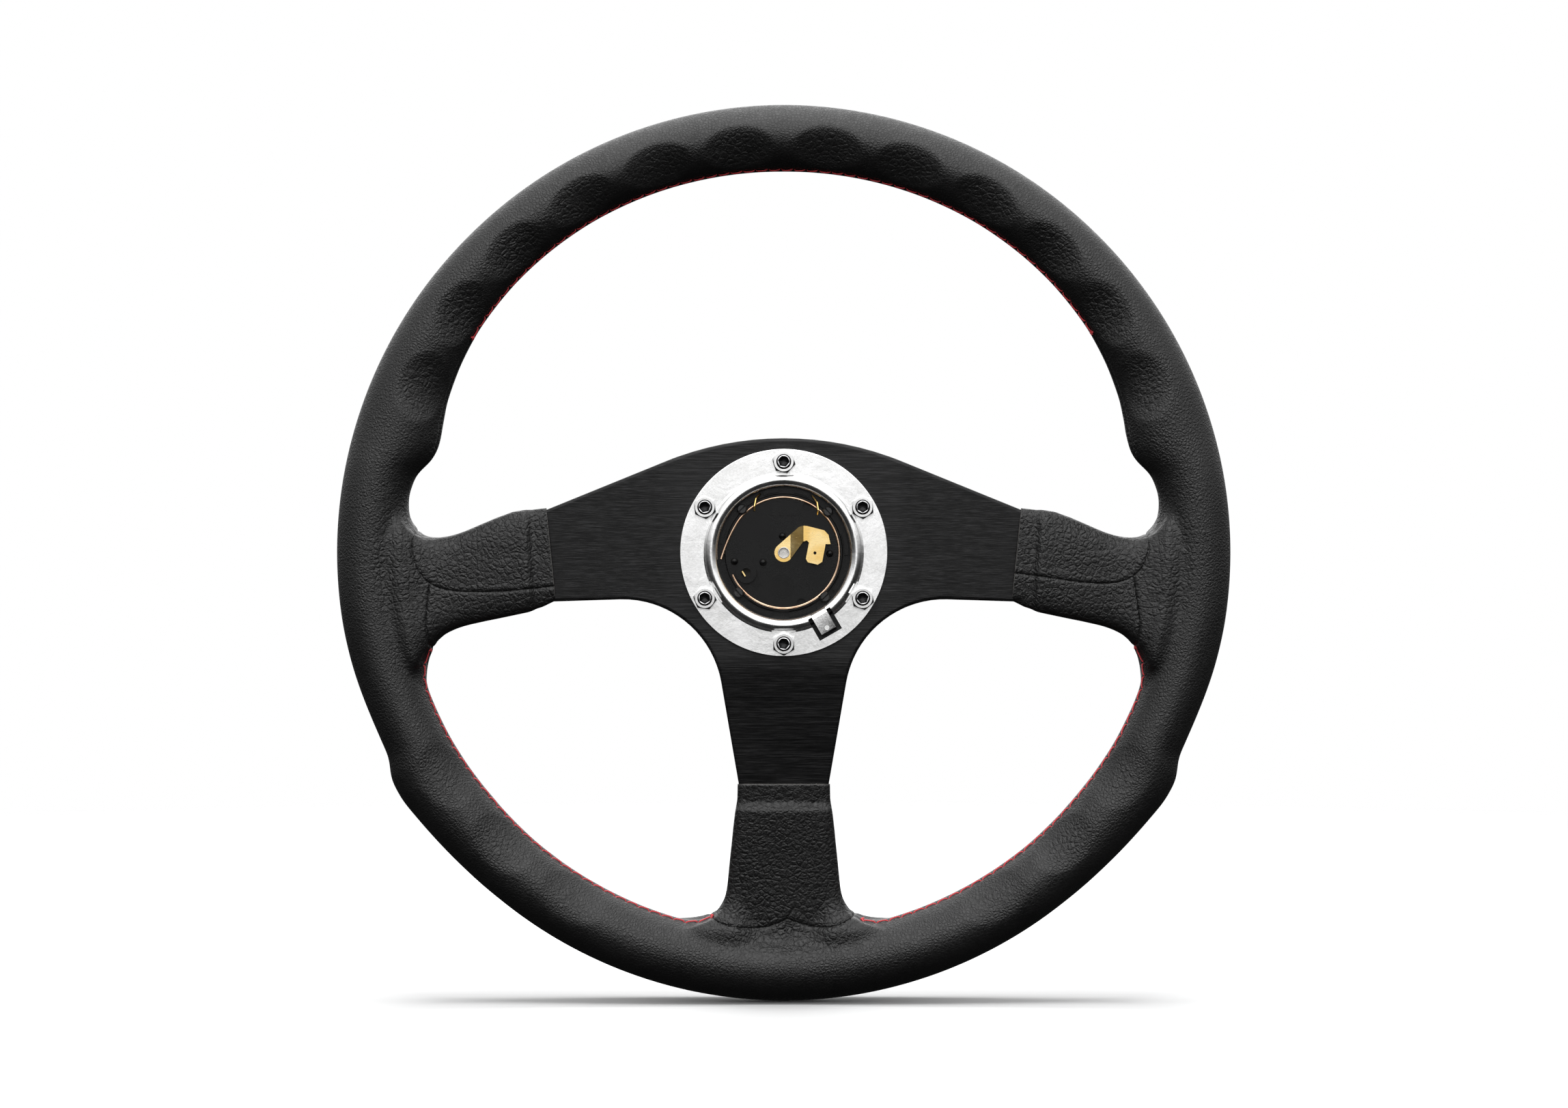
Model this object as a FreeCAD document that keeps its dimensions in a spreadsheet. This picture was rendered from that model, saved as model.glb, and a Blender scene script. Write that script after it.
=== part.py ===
import FreeCAD, Part
doc = FreeCAD.newDocument("steering_wheel")
import math
import os
import Sketcher
from FreeCAD import Vector, Rotation, Placement

# Steering wheel, upright. +Z is up, +Y points at the driver, -Y at the column.
# The origin is the centre of the six screw ends, in the plane of the nuts' rear faces.

sheet = doc.addObject("Spreadsheet::Sheet", "Sizes")
SIZES = [
    ("bolt_circle_radius", 35.0), ("bolt_hole_radius", 2.7), ("bolt_count", 6),
    ("flange_rear_plane", 4.0), ("flange_sheet", 1.2), ("flange_radius", 40.0),
    ("bead_mid_radius", 28.0), ("bead_outer_round", 2.4), ("bead_root_plane", 3.2),
    ("lip_front_plane", 7.0), ("flat_half_width", 4.6), ("flat_distance", 29.9),
    ("tab_width", 6.3), ("tab_window_half_width", 4.9), ("tab_window_outer", 36.4),
    ("plate_rear_plane", 5.2), ("plate_thickness", 4.0), ("plate_bend_start", 40.2),
    ("plate_bend_radius", 40.0), ("plate_bend_angle", 10.9), ("plate_edge_round", 1.3),
    ("hub_top_height", 44.2), ("hub_top_radius", 121.0), ("lower_arc_radius", 38.4),
    ("centre_hole_radius", 30.0), ("spoke_end_radius", 160.5),
    ("screw_shank_radius", 2.4), ("screw_end_radius", 2.5), ("screw_end_length", 1.6),
    ("screw_head_radius", 5.0), ("screw_socket_flats", 3.0), ("screw_socket_depth", 2.4),
    ("nut_flats", 8.0), ("nut_height", 4.0), ("nut_bore_radius", 2.45),
    ("rim_plane", 29.0), ("rim_mid_radius", 162.3), ("rim_half_width", 13.0),
    ("rim_side_height", 3.5), ("leather_thickness", 1.2), ("hoop_radius", 162.0),
    ("hoop_bar_radius", 4.5), ("sleeve_thickness", 11.6), ("sleeve_band_thickness", 6.6),
    ("thread_radius", 0.45), ("thread_circle_radius", 148.75), ("thread_plane", 24.0),
    ("base_disc_radius", 22.8), ("base_rear_plane", 6.0), ("base_step_plane", 7.4),
    ("base_front_plane", 8.6), ("base_flange_radius", 26.9), ("base_boss_radius", 3.9),
    ("base_boss_hole_radius", 1.9), ("base_pip_radius", 1.35), ("post_circle_radius", 23.3),
    ("post_radius", 1.2), ("post_hole_radius", 1.28), ("post_head_radius", 2.0),
    ("wire_circle_radius", 21.4), ("wire_radius", 0.45), ("wire_plane", 5.5),
    ("lug_sheet", 0.8), ("lug_hole_radius", 2.15), ("rivet_outer_radius", 2.1),
    ("rivet_bore_radius", 1.65), ("rivet_flange_radius", 2.3), ("hook_radius", 0.4),
    ("cap_radius", 29.4), ("cap_skirt_inner_radius", 27.8), ("cap_skirt_plane", 9.0),
    ("cap_inner_plane", 12.8), ("cap_front_plane", 15.4), ("badge_radius", 19.0),
    ("badge_ring_radius", 20.5), ("badge_floor_plane", 14.0), ("contact_radius", 11.0),
    ("contact_sheet", 0.5), ("contact_nose_radius", 2.0), ("contact_nose_plane", 10.55),
    ("spring_coil_radius", 1.9), ("spring_wire_radius", 0.28), ("spring_turns", 3.0),
]
for row, (alias, value) in enumerate(SIZES, start=1):
    sheet.set("A%d" % row, alias.replace("_", " "))
    sheet.set("B%d" % row, str(value))
    sheet.setAlias("B%d" % row, alias)
doc.recompute()


def size(alias):
    return float(sheet.get(alias))


def polar(radius, degrees):
    angle = math.radians(degrees)
    return radius * math.cos(angle), radius * math.sin(angle)


# ---------------------------------------------------------------- sketch helpers
def plane(body, role):
    return next(o for o in body.Origin.OriginFeatures if o.Role == role)


def new_body(label, many=False):
    body = doc.addObject("PartDesign::Body", label)
    body.Label = label
    if many:
        body.AllowCompound = True
    return body


def new_sketch(body, role, name, offset=None):
    sketch = body.newObject("Sketcher::SketchObject", name)
    sketch.AttachmentSupport = [(plane(body, role), "")]
    sketch.MapMode = "FlatFace"
    if offset is not None:
        sketch.AttachmentOffset = offset
    return sketch


def free_sketch(name, placement):
    sketch = doc.addObject("Sketcher::SketchObject", name)
    sketch.Placement = placement
    return sketch


def join_ends(sketch, first, count):
    """Closes a run of curves into one loop by joining the ends that meet."""
    for n in range(count):
        a, b = first + n, first + (n + 1) % count
        best = None
        for i in (1, 2):
            for j in (1, 2):
                gap = sketch.getPoint(a, i).distanceToPoint(sketch.getPoint(b, j))
                if best is None or gap < best[0]:
                    best = (gap, i, j)
        sketch.addConstraint(Sketcher.Constraint("Coincident", a, best[1], b, best[2]))


def add_loop(sketch, parts, radii=()):
    """parts: points (x, y) joined by lines; (x, y, 'arc', mx, my) arrives on an arc through (mx, my)."""
    first = sketch.GeometryCount
    points = [Vector(p[0], p[1], 0) for p in parts]
    for n, part in enumerate(parts):
        start, end = points[n - 1], points[n]
        if len(part) > 2:
            sketch.addGeometry(Part.Arc(start, Vector(part[3], part[4], 0), end), False)
        else:
            sketch.addGeometry(Part.LineSegment(start, end), False)
    join_ends(sketch, first, len(parts))
    for n, alias in radii:
        index = sketch.addConstraint(
            Sketcher.Constraint("Radius", first + n, sketch.Geometry[first + n].Radius))
        sketch.setExpression("Constraints[%d]" % index, "Sizes." + alias)
    return first


def add_circle(sketch, x, y, alias):
    n = sketch.addGeometry(Part.Circle(Vector(x, y, 0), Vector(0, 0, 1), size(alias)), False)
    index = sketch.addConstraint(Sketcher.Constraint("Radius", n, size(alias)))
    sketch.setExpression("Constraints[%d]" % index, "Sizes." + alias)
    sketch.addConstraint(Sketcher.Constraint("DistanceX", -1, 1, n, 3, x))
    sketch.addConstraint(Sketcher.Constraint("DistanceY", -1, 1, n, 3, y))
    return n


def both_sides(feature):
    if hasattr(feature, "SideType"):
        feature.SideType = "Symmetric"
    else:
        feature.Midplane = True


def revolve(body, sketch, name, kind="PartDesign::Revolution"):
    feature = body.newObject(kind, name)
    feature.Profile = sketch
    feature.ReferenceAxis = (sketch, ["V_Axis"])
    feature.Angle = 360
    sketch.Visibility = False
    doc.recompute()
    return feature


def pad(body, sketch, name, length, middle=False, reverse=False, alias=None):
    feature = body.newObject("PartDesign::Pad", name)
    feature.Profile = sketch
    feature.Length = length
    if alias:
        feature.setExpression("Length", alias)
    if middle:
        both_sides(feature)
    feature.Reversed = reverse
    sketch.Visibility = False
    doc.recompute()
    return feature


def pocket(body, sketch, name, length, reverse=False, middle=False):
    before = body.Shape.Volume
    feature = body.newObject("PartDesign::Pocket", name)
    feature.Profile = sketch
    feature.Length = length
    feature.Reversed = reverse
    if middle:
        both_sides(feature)
    sketch.Visibility = False
    doc.recompute()
    if feature.Shape.Volume > before - 1e-4:
        raise RuntimeError(name + " took nothing away")
    return feature


def ring_of(body, originals, name, count_alias="bolt_count"):
    pattern = body.newObject("PartDesign::PolarPattern", name)
    pattern.Originals = originals
    axis = next(o for o in body.Origin.OriginFeatures if o.Role == "Y_Axis")
    pattern.Axis = (axis, [""])
    pattern.Angle = 360
    pattern.Occurrences = int(size(count_alias))
    pattern.setExpression("Occurrences", "Sizes." + count_alias)
    body.Tip = pattern
    doc.recompute()
    return pattern


TO_XZ = Placement(Vector(0, 0, 0), Rotation(Vector(1, 0, 0), 90))   # sketch x -> X, sketch y -> Z
TO_YZ = Placement(Vector(0, 0, 0), Rotation(Vector(0, 1, 0), Vector(0, 0, 1), Vector(1, 0, 0), "XYZ"))


def extrusion(name, sketch, direction, forward, reverse=0.0):
    solid = doc.addObject("Part::Extrusion", name)
    solid.Base = sketch
    solid.DirMode = "Custom"
    solid.Dir = direction
    solid.LengthFwd = forward
    solid.LengthRev = reverse
    solid.Solid = True
    return solid


def prism_y(name, parts, low=-20.0, high=70.0):
    """A column along Y with the outline given in X and Z."""
    sketch = free_sketch(name + "_outline", TO_XZ)
    add_loop(sketch, parts)
    return extrusion(name, sketch, Vector(0, 1, 0), high, -low)


def cut(name, base, tool):
    feature = doc.addObject("Part::Cut", name)
    feature.Base, feature.Tool = base, tool
    return feature


def common(name, shapes):
    feature = doc.addObject("Part::MultiCommon", name)
    feature.Shapes = shapes
    return feature


def fuse(name, shapes):
    feature = doc.addObject("Part::MultiFuse", name)
    feature.Shapes = shapes
    return feature


def cylinder_y(name, x, z, low, high, alias=None, radius=None):
    """A round bar along Y between two planes."""
    bar = doc.addObject("Part::Cylinder", name)
    bar.Radius = radius if radius is not None else size(alias)
    if alias:
        bar.setExpression("Radius", "Sizes." + alias)
    bar.Height = high - low
    bar.Placement = Placement(Vector(x, low, z), Rotation(Vector(1, 0, 0), -90))
    return bar


def block(name, low, high, placement=None):
    box = doc.addObject("Part::Box", name)
    box.Length, box.Width, box.Height = [b - a for a, b in zip(low, high)]
    base = Placement(Vector(*low), Rotation())
    box.Placement = placement.multiply(base) if placement else base
    return box


SLOPE = math.tan(math.radians(size("plate_bend_angle")))
COSINE = math.cos(math.radians(size("plate_bend_angle")))
SINE = math.sin(math.radians(size("plate_bend_angle")))


def bent_profile(end, rear, thickness, start=0.0):
    """Half of the bent plate's section, from the centre line out to `end`: (distance, Y) points and arcs."""
    flat, bend = size("plate_bend_start"), size("plate_bend_radius")
    front, inner = rear + thickness, bend - thickness
    half = math.radians(size("plate_bend_angle") / 2)
    rear_end = (flat + bend * SINE, rear + bend - bend * COSINE)
    front_end = (flat + inner * SINE, rear + bend - inner * COSINE)
    rear_mid = (flat + bend * math.sin(half), rear + bend - bend * math.cos(half))
    front_mid = (flat + inner * math.sin(half), rear + bend - inner * math.cos(half))
    rear_far = (end, rear_end[1] + (end - rear_end[0]) * SLOPE)
    front_far = (end, front_end[1] + (end - front_end[0]) * SLOPE)
    return rear, front, rear_end, rear_mid, front_end, front_mid, rear_far, front_far


# ---------------------------------------------------------------- spoke plate
REAR, THICK = size("plate_rear_plane"), size("plate_thickness")
END = size("spoke_end_radius")
spoke_plate = new_body("spoke_plate")
rear, front, re_, rm, fe, fm, rf, ff = bent_profile(END + 4, REAR, THICK)
flat = size("plate_bend_start")
side = new_sketch(spoke_plate, "XY_Plane", "side_spoke_section", Placement(Vector(0, 0, -size("plate_bend_start")), Rotation()))
add_loop(side, [
    (-rf[0], rf[1]), (-re_[0], re_[1]), (-flat, rear, "arc", -rm[0], rm[1]),
    (flat, rear), (re_[0], re_[1], "arc", rm[0], rm[1]), (rf[0], rf[1]), (ff[0], ff[1]),
    (fe[0], fe[1]), (flat, front, "arc", fm[0], fm[1]), (-flat, front),
    (-fe[0], fe[1], "arc", -fm[0], fm[1]), (-ff[0], ff[1])],
    radii=[(2, "plate_bend_radius")])
pad(spoke_plate, side, "side_spokes", 92)  # from the lower bend line up past the hub's top edge
down = new_sketch(spoke_plate, "YZ_Plane", "bottom_spoke_section", Placement(Vector(0, 0, -flat), Rotation()))
add_loop(down, [
    (rear, -20), (rear, -flat), (re_[1], -re_[0], "arc", rm[1], -rm[0]), (rf[1], -rf[0]),
    (ff[1], -ff[0]), (fe[1], -fe[0]), (front, -flat, "arc", fm[1], -fm[0]), (front, -20)],
    radii=[(2, "plate_bend_radius")])
pad(spoke_plate, down, "bottom_spoke", 2 * flat)

# Outline: large arc over the hub, straight upper spoke edges, a wide arc in each lower corner.
TOP, TOP_R, LOW_R = size("hub_top_height"), size("hub_top_radius"), size("lower_arc_radius")
tilt = math.radians(21.8)
tx, tz = TOP_R * math.sin(tilt), TOP - TOP_R * (1 - math.cos(tilt))
lx, lz = 62.0, -18.05 - LOW_R
taper = math.atan(0.168)
bx, bz = lx - LOW_R * math.cos(taper), lz + LOW_R * math.sin(taper)
sx = bx - (96.0 + bz) * math.tan(taper)
droop = math.radians(1.95)   # the lower edge of a side spoke falls slightly towards the rim
lx2, lz2 = lx + LOW_R * math.sin(droop), lz + LOW_R * math.cos(droop)
am = math.radians(135 + math.degrees(taper) / 2)
amx, amz = lx + LOW_R * math.cos(am), lz + LOW_R * math.sin(am)
top_z = 4.5                    # a spoke's upper edge inside its wrap, past its straight slope
kink_x = tx + (tz - top_z) / math.tan(tilt)
end_x = math.sqrt(END ** 2 - top_z ** 2)
under_z = lz2 - (159.08 - lx2) * math.tan(droop)
end_x2 = math.sqrt(END ** 2 - under_z ** 2)
mid_a = (math.asin(top_z / END) + math.asin(under_z / END)) / 2
end_m = (END * math.cos(mid_a), END * math.sin(mid_a))
foot_x = 14.0
foot_z = -math.sqrt(END ** 2 - foot_x ** 2)
PLATE_OUTLINE = [
    (tx, tz, "arc", 0, TOP), (kink_x, top_z), (end_x, top_z), (end_x2, under_z, "arc") + end_m,
    (lx2, lz2), (bx, bz, "arc", amx, amz), (sx, -96), (foot_x, -106),
    (foot_x, foot_z), (-foot_x, foot_z, "arc", 0, -END), (-foot_x, -106), (-sx, -96), (-bx, bz),
    (-lx2, lz2, "arc", -amx, amz),
    (-end_x2, under_z), (-end_x, top_z, "arc", -end_m[0], end_m[1]), (-kink_x, top_z), (-tx, tz)]
trim = new_sketch(spoke_plate, "XZ_Plane", "plate_outline", Placement(Vector(0, 0, 20), Rotation()))
add_loop(trim, [(-220, -220), (220, -220), (220, 220), (-220, 220)])
add_loop(trim, PLATE_OUTLINE, radii=[(0, "hub_top_radius"), (5, "lower_arc_radius"), (13, "lower_arc_radius")])
pocket(spoke_plate, trim, "trim_to_outline", 120)

# Rounded edges right round the outline, on both faces.
def on_outline(edge):
    mid = edge.valueAt((edge.FirstParameter + edge.LastParameter) / 2)
    along = edge.tangentAt((edge.FirstParameter + edge.LastParameter) / 2)
    if abs(along.y) > 0.9:
        return False
    if edge.Curve.TypeId == "Part::GeomLine":
        level = abs(mid.z) < 12 and abs(along.z) > 0.99      # bend lines of the side spokes
        cross = abs(mid.x) < 1 and abs(along.x) > 0.99       # bend lines of the bottom spoke
        return not (level or cross)
    return True


plate_tip = spoke_plate.Tip
names = ["Edge%d" % (n + 1) for n, e in enumerate(plate_tip.Shape.Edges) if on_outline(e)]
rounded = spoke_plate.newObject("PartDesign::Fillet", "rounded_edges")
rounded.Base = (plate_tip, names)
rounded.Radius = size("plate_edge_round")
rounded.setExpression("Radius", "Sizes.plate_edge_round")
doc.recompute()
if rounded.Shape.isNull() or not rounded.Shape.isValid() or "Invalid" in rounded.State:
    print("edge rounding failed; plain edges kept")
    spoke_plate.removeObject(rounded)
    doc.removeObject(rounded.Name)
    spoke_plate.Tip = plate_tip
    doc.recompute()

bore = new_sketch(spoke_plate, "XZ_Plane", "centre_hole_circle", Placement(Vector(0, 0, 20), Rotation()))
add_circle(bore, 0, 0, "centre_hole_radius")
pocket(spoke_plate, bore, "centre_hole", 60)
hole = new_sketch(spoke_plate, "XZ_Plane", "bolt_hole_circle", Placement(Vector(0, 0, 20), Rotation()))
add_circle(hole, 0, size("bolt_circle_radius"), "bolt_hole_radius")
hole_cut = pocket(spoke_plate, hole, "bolt_hole", 60)
sink = new_sketch(spoke_plate, "XY_Plane", "countersink_section",
                  Placement(Vector(0, 0, size("bolt_circle_radius")), Rotation()))
add_loop(sink, [(0, front + 0.1), (0, front - 3.2), (1.98, front - 3.2), (5.28, front + 0.1)])
sink_cut = revolve(spoke_plate, sink, "countersink", "PartDesign::Groove")
ring_of(spoke_plate, [hole_cut, sink_cut], "bolt_holes")

# ---------------------------------------------------------------- horn retaining ring
FLANGE, SHEET = size("flange_rear_plane"), size("flange_sheet")
MID, ROUND, ROOT = size("bead_mid_radius"), size("bead_outer_round"), size("bead_root_plane")
horn_retaining_ring = new_body("horn_retaining_ring")
section = new_sketch(horn_retaining_ring, "XY_Plane", "ring_section")
inner_round = ROUND - SHEET
d = math.sqrt(0.5)
add_loop(section, [
    (size("flange_radius"), FLANGE + SHEET), (size("flange_radius"), FLANGE + 0.25),
    (size("flange_radius") - 0.25, FLANGE, "arc", size("flange_radius") - 0.25 * (1 - d), FLANGE + 0.25 * (1 - d)),
    (MID + ROUND + 0.5, FLANGE), (MID + ROUND, FLANGE - 0.5, "arc", MID + ROUND + 0.5 * (1 - d), FLANGE - 0.5 * (1 - d)),
    (MID + ROUND, ROOT), (MID - ROUND, ROOT, "arc", MID, ROOT - ROUND),
    (MID - ROUND, size("lip_front_plane")), (MID - ROUND + SHEET, size("lip_front_plane")),
    (MID - inner_round, ROOT), (MID + inner_round, ROOT, "arc", MID, ROOT - inner_round),
    (MID + inner_round, FLANGE + SHEET)],
    radii=[(6, "bead_outer_round")])
revolve(horn_retaining_ring, section, "ring_stamping")
ring_hole = new_sketch(horn_retaining_ring, "XZ_Plane", "ring_hole_circle", Placement(Vector(0, 0, 5), Rotation()))
add_circle(ring_hole, 0, size("bolt_circle_radius"), "bolt_hole_radius")
ring_hole_cut = pocket(horn_retaining_ring, ring_hole, "ring_hole", 20)
seat = new_sketch(horn_retaining_ring, "XZ_Plane", "nut_flat_outline", Placement(Vector(0, 0, 5), Rotation()))
fw, fd = size("flat_half_width"), size("flat_distance")
add_loop(seat, [(-fw, fd), (fw, fd), (fw, 31.5), (-fw, 31.5)])
seat_cut = pocket(horn_retaining_ring, seat, "nut_flat", 5 + FLANGE - 0.02)
ring_of(horn_retaining_ring, [ring_hole_cut, seat_cut], "nut_flats")
TAB_ANGLE = -60.0


def tab_point(radius, along):
    x, z = polar(radius, TAB_ANGLE)
    nx, nz = polar(along, TAB_ANGLE + 90)
    return (x + nx, z + nz)


window = new_sketch(horn_retaining_ring, "XZ_Plane", "tab_window_outline", Placement(Vector(0, 0, 5), Rotation()))
tw, to = size("tab_window_half_width"), size("tab_window_outer")
add_loop(window, [tab_point(26.9, -tw), tab_point(to, -tw), tab_point(to, tw), tab_point(26.9, tw)])
pocket(horn_retaining_ring, window, "tab_window", 5 + FLANGE + SHEET + 1)
tab_sketch = new_sketch(horn_retaining_ring, "XY_Plane", "tab_section",
                        Placement(Vector(0, 0, 0), Rotation(Vector(0, 1, 0), -TAB_ANGLE)))
add_loop(tab_sketch, [
    (25.75, 4.4), (25.75, 2.0), (28.0, -0.6, "arc", 26.3, 0.1), (34.6, -0.6), (35.6, -0.1), (35.6, 0.6),
    (28.4, 0.6), (26.95, 2.2, "arc", 27.35, 1.05), (26.95, 4.4)])
pad(horn_retaining_ring, tab_sketch, "ground_tab", size("tab_width"), middle=True, alias="Sizes.tab_width")
dimple = new_sketch(horn_retaining_ring, "XZ_Plane", "dimple_circle", Placement(Vector(0, 0, 5), Rotation()))
n = dimple.addGeometry(Part.Circle(Vector(*tab_point(33.2, 0), 0), Vector(0, 0, 1), 0.9), False)
dimple.addConstraint(Sketcher.Constraint("Radius", n, 0.9))
pocket(horn_retaining_ring, dimple, "tab_dimple", 5 - 0.6 + 0.5)

# ---------------------------------------------------------------- hub screws
PCR = size("bolt_circle_radius")
hub_screws = new_body("hub_screws", many=True)
shank, tip = size("screw_shank_radius"), size("screw_end_radius")
head, length = size("screw_head_radius"), size("screw_end_length")
profile = new_sketch(hub_screws, "XY_Plane", "screw_section", Placement(Vector(0, 0, PCR), Rotation()))
add_loop(profile, [
    (0, -length), (tip - 0.4, -length), (tip, -length + 0.4), (tip, 0), (shank, 0),
    (shank, front - (head - shank)), (head, front), (0, front)])
screw = revolve(hub_screws, profile, "screw_turned")
socket = new_sketch(hub_screws, "XZ_Plane", "socket_hexagon", Placement(Vector(0, 0, -front), Rotation()))
across = size("screw_socket_flats") / math.sqrt(3)
add_loop(socket, [(polar(across, 60 * k)[0], PCR + polar(across, 60 * k)[1]) for k in range(6)])
socket_cut = pocket(hub_screws, socket, "screw_socket", size("screw_socket_depth"), reverse=True)
ring_of(hub_screws, [screw, socket_cut], "six_screws")

# ---------------------------------------------------------------- hub nuts, each turned by a different amount
nut_form = new_body("nut_form")
hexagon = new_sketch(nut_form, "XZ_Plane", "nut_hexagon")
corner = size("nut_flats") / math.sqrt(3)
add_loop(hexagon, [polar(corner, 60 * k) for k in range(6)])
nut_height = size("nut_height")
pad(nut_form, hexagon, "nut_blank", nut_height, reverse=True, alias="Sizes.nut_height")
corners = new_sketch(nut_form, "XY_Plane", "nut_corner_section")
rise = (corner - 3.75) * math.tan(math.radians(30))
add_loop(corners, [(3.75, 0), (6, 0), (6, (6 - 3.75) * math.tan(math.radians(30)))])
revolve(nut_form, corners, "rounded_corners", "PartDesign::Groove")
bore_section = new_sketch(nut_form, "XY_Plane", "nut_bore_section")
nb = size("nut_bore_radius")
add_loop(bore_section, [
    (0, -0.5), (nb + 0.95, -0.5), (nb, 0.45), (nb, nut_height - 0.45), (nb + 0.95, nut_height + 0.5), (0, nut_height + 0.5)])
revolve(nut_form, bore_section, "nut_bore", "PartDesign::Groove")
nut_solids = []
for k, turn in enumerate((12.0, 27.0, 19.0, 30.0, 8.0, 24.0)):
    x, z = polar(PCR, 90 - 60 * k)
    copy = nut_form.Shape.copy()
    copy.Placement = Placement(Vector(x, 0, z), Rotation(Vector(0, 1, 0), turn))
    nut_solids.append(copy)
hub_nuts = doc.addObject("Part::Feature", "hub_nuts")
hub_nuts.Shape = Part.makeCompound(nut_solids)
hub_nuts.Placement = Placement()

# ---------------------------------------------------------------- rim: hoop, foam and leather
RIM, RIMR = size("rim_plane"), size("rim_mid_radius")


def rim_ring(label, half_width):
    """A ring of oval section: two tight arcs fore and aft, two wider arcs on the sides."""
    s = size("rim_side_height")
    tight = half_width - 1.5
    c = (s * s - 2.25) / 3.0
    wide = half_width + c
    body = new_body(label)
    sketch = new_sketch(body, "XY_Plane", label + "_oval")
    ang = math.atan2(s, c)
    px, py = tight * math.cos(ang), s + tight * math.sin(ang)
    add_loop(sketch, [
        (RIMR + px, RIM + py, "arc", RIMR + half_width, RIM),
        (RIMR - px, RIM + py, "arc", RIMR, RIM + s + tight),
        (RIMR - px, RIM - py, "arc", RIMR - half_width, RIM),
        (RIMR + px, RIM - py, "arc", RIMR, RIM - s - tight)])
    revolve(body, sketch, label + "_turned")
    return body


half = size("rim_half_width")
skin = size("leather_thickness")
rim_outside = rim_ring("rim_outside", half)
rim_inside = rim_ring("rim_inside", half - skin)
rim_core = rim_ring("rim_core", half - skin - 0.1)
rim_clear = rim_ring("rim_clear", half + 0.1)

hoop_bar = doc.addObject("Part::Torus", "hoop_bar")
hoop_bar.Radius1, hoop_bar.Radius2 = size("hoop_radius"), size("hoop_bar_radius")
hoop_bar.setExpression("Radius1", "Sizes.hoop_radius")
hoop_bar.setExpression("Radius2", "Sizes.hoop_bar_radius")
hoop_bar.Placement = Placement(Vector(0, RIM, 0), Rotation(Vector(1, 0, 0), -90))
rim_hoop = cut("rim_hoop", hoop_bar, spoke_plate)


def stepped_section(thin, thick, start, step, end, grow=0.0):
    """Section through a spoke wrap: thin at the hub end, thick from the step outwards. (distance, Y) points."""
    def mid(distance):
        return REAR + THICK / 2 + (distance - size("plate_bend_start") - size("plate_bend_radius") * math.tan(math.radians(size("plate_bend_angle") / 2))) * SLOPE
    a, b = thin / 2 / COSINE, thick / 2 / COSINE
    return [(start, mid(start) - a), (step, mid(step) - a), (step + 2, mid(step + 2) - b), (end, mid(end) - b),
            (end, mid(end) + b), (step + 2, mid(step + 2) + b), (step, mid(step) + a), (start, mid(start) + a)]


def slab(name, section, toward):
    """The wrap's section drawn out across the spoke. toward: +1 right, -1 left, 0 down."""
    if toward:
        sketch = free_sketch(name + "_section", Placement())
        add_loop(sketch, [(toward * u, y) for u, y in section])
        return extrusion(name, sketch, Vector(0, 0, 1), 60, 60)
    sketch = free_sketch(name + "_section", TO_YZ)
    add_loop(sketch, [(y, -u) for u, y in section])
    return extrusion(name, sketch, Vector(1, 0, 0), 60, 60)


# Spoke wrap outlines, as (distance from the centre, height) for the right spoke.
SIDE_TOP = [(92.0, 17.7), (99, 16.6), (105.3, 15.6), (111.5, 13.7), (117.6, 11.3), (123.7, 8.8), (129.9, 7.0), (136, 6.6), (158, 8.0)]
SIDE_LOW = [(158, -46), (138.6, -46), (136.4, -37.5), (133, -32.8), (129.9, -30.6), (123.7, -28.4), (117.6, -27.1), (111.5, -25.8),
            (105.3, -24.5), (99.2, -23.2), (93.5, -21.4), (88.4, -18.9)]
FOOT = [(-17.9, -89.8), (-18.0, -95.7), (-18.9, -101.7), (-19.7, -107.8), (-20.3, -113.9), (-20.9, -120), (-21.6, -126.1), (-22.3, -132.3),
        (-24.5, -138.4), (-29, -143.5), (-34, -158), (34, -158), (29, -143.5), (24.5, -138.4), (22.3, -132.3), (21.6, -126.1),
        (20.9, -120), (20.3, -113.9), (19.7, -107.8), (18.9, -101.7), (18.0, -95.7), (17.9, -89.8)]


def inset_side(amount, start):
    top = [(start, 15.2 - amount)] + [(u, z - amount) for u, z in SIDE_TOP[1:] if u > start]
    low = [(u - (0 if u > 150 else amount), z + amount) for u, z in SIDE_LOW if u > start] + [(start, -22.0 + amount)]
    return top + low


def inset_foot(amount, start):
    left = [(x + amount, z) for x, z in FOOT[:11] if z < start]
    right = [(x - amount, z) for x, z in FOOT[11:] if z < start]
    return [(left[0][0], start)] + left + right + [(right[-1][0], start)]


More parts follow.
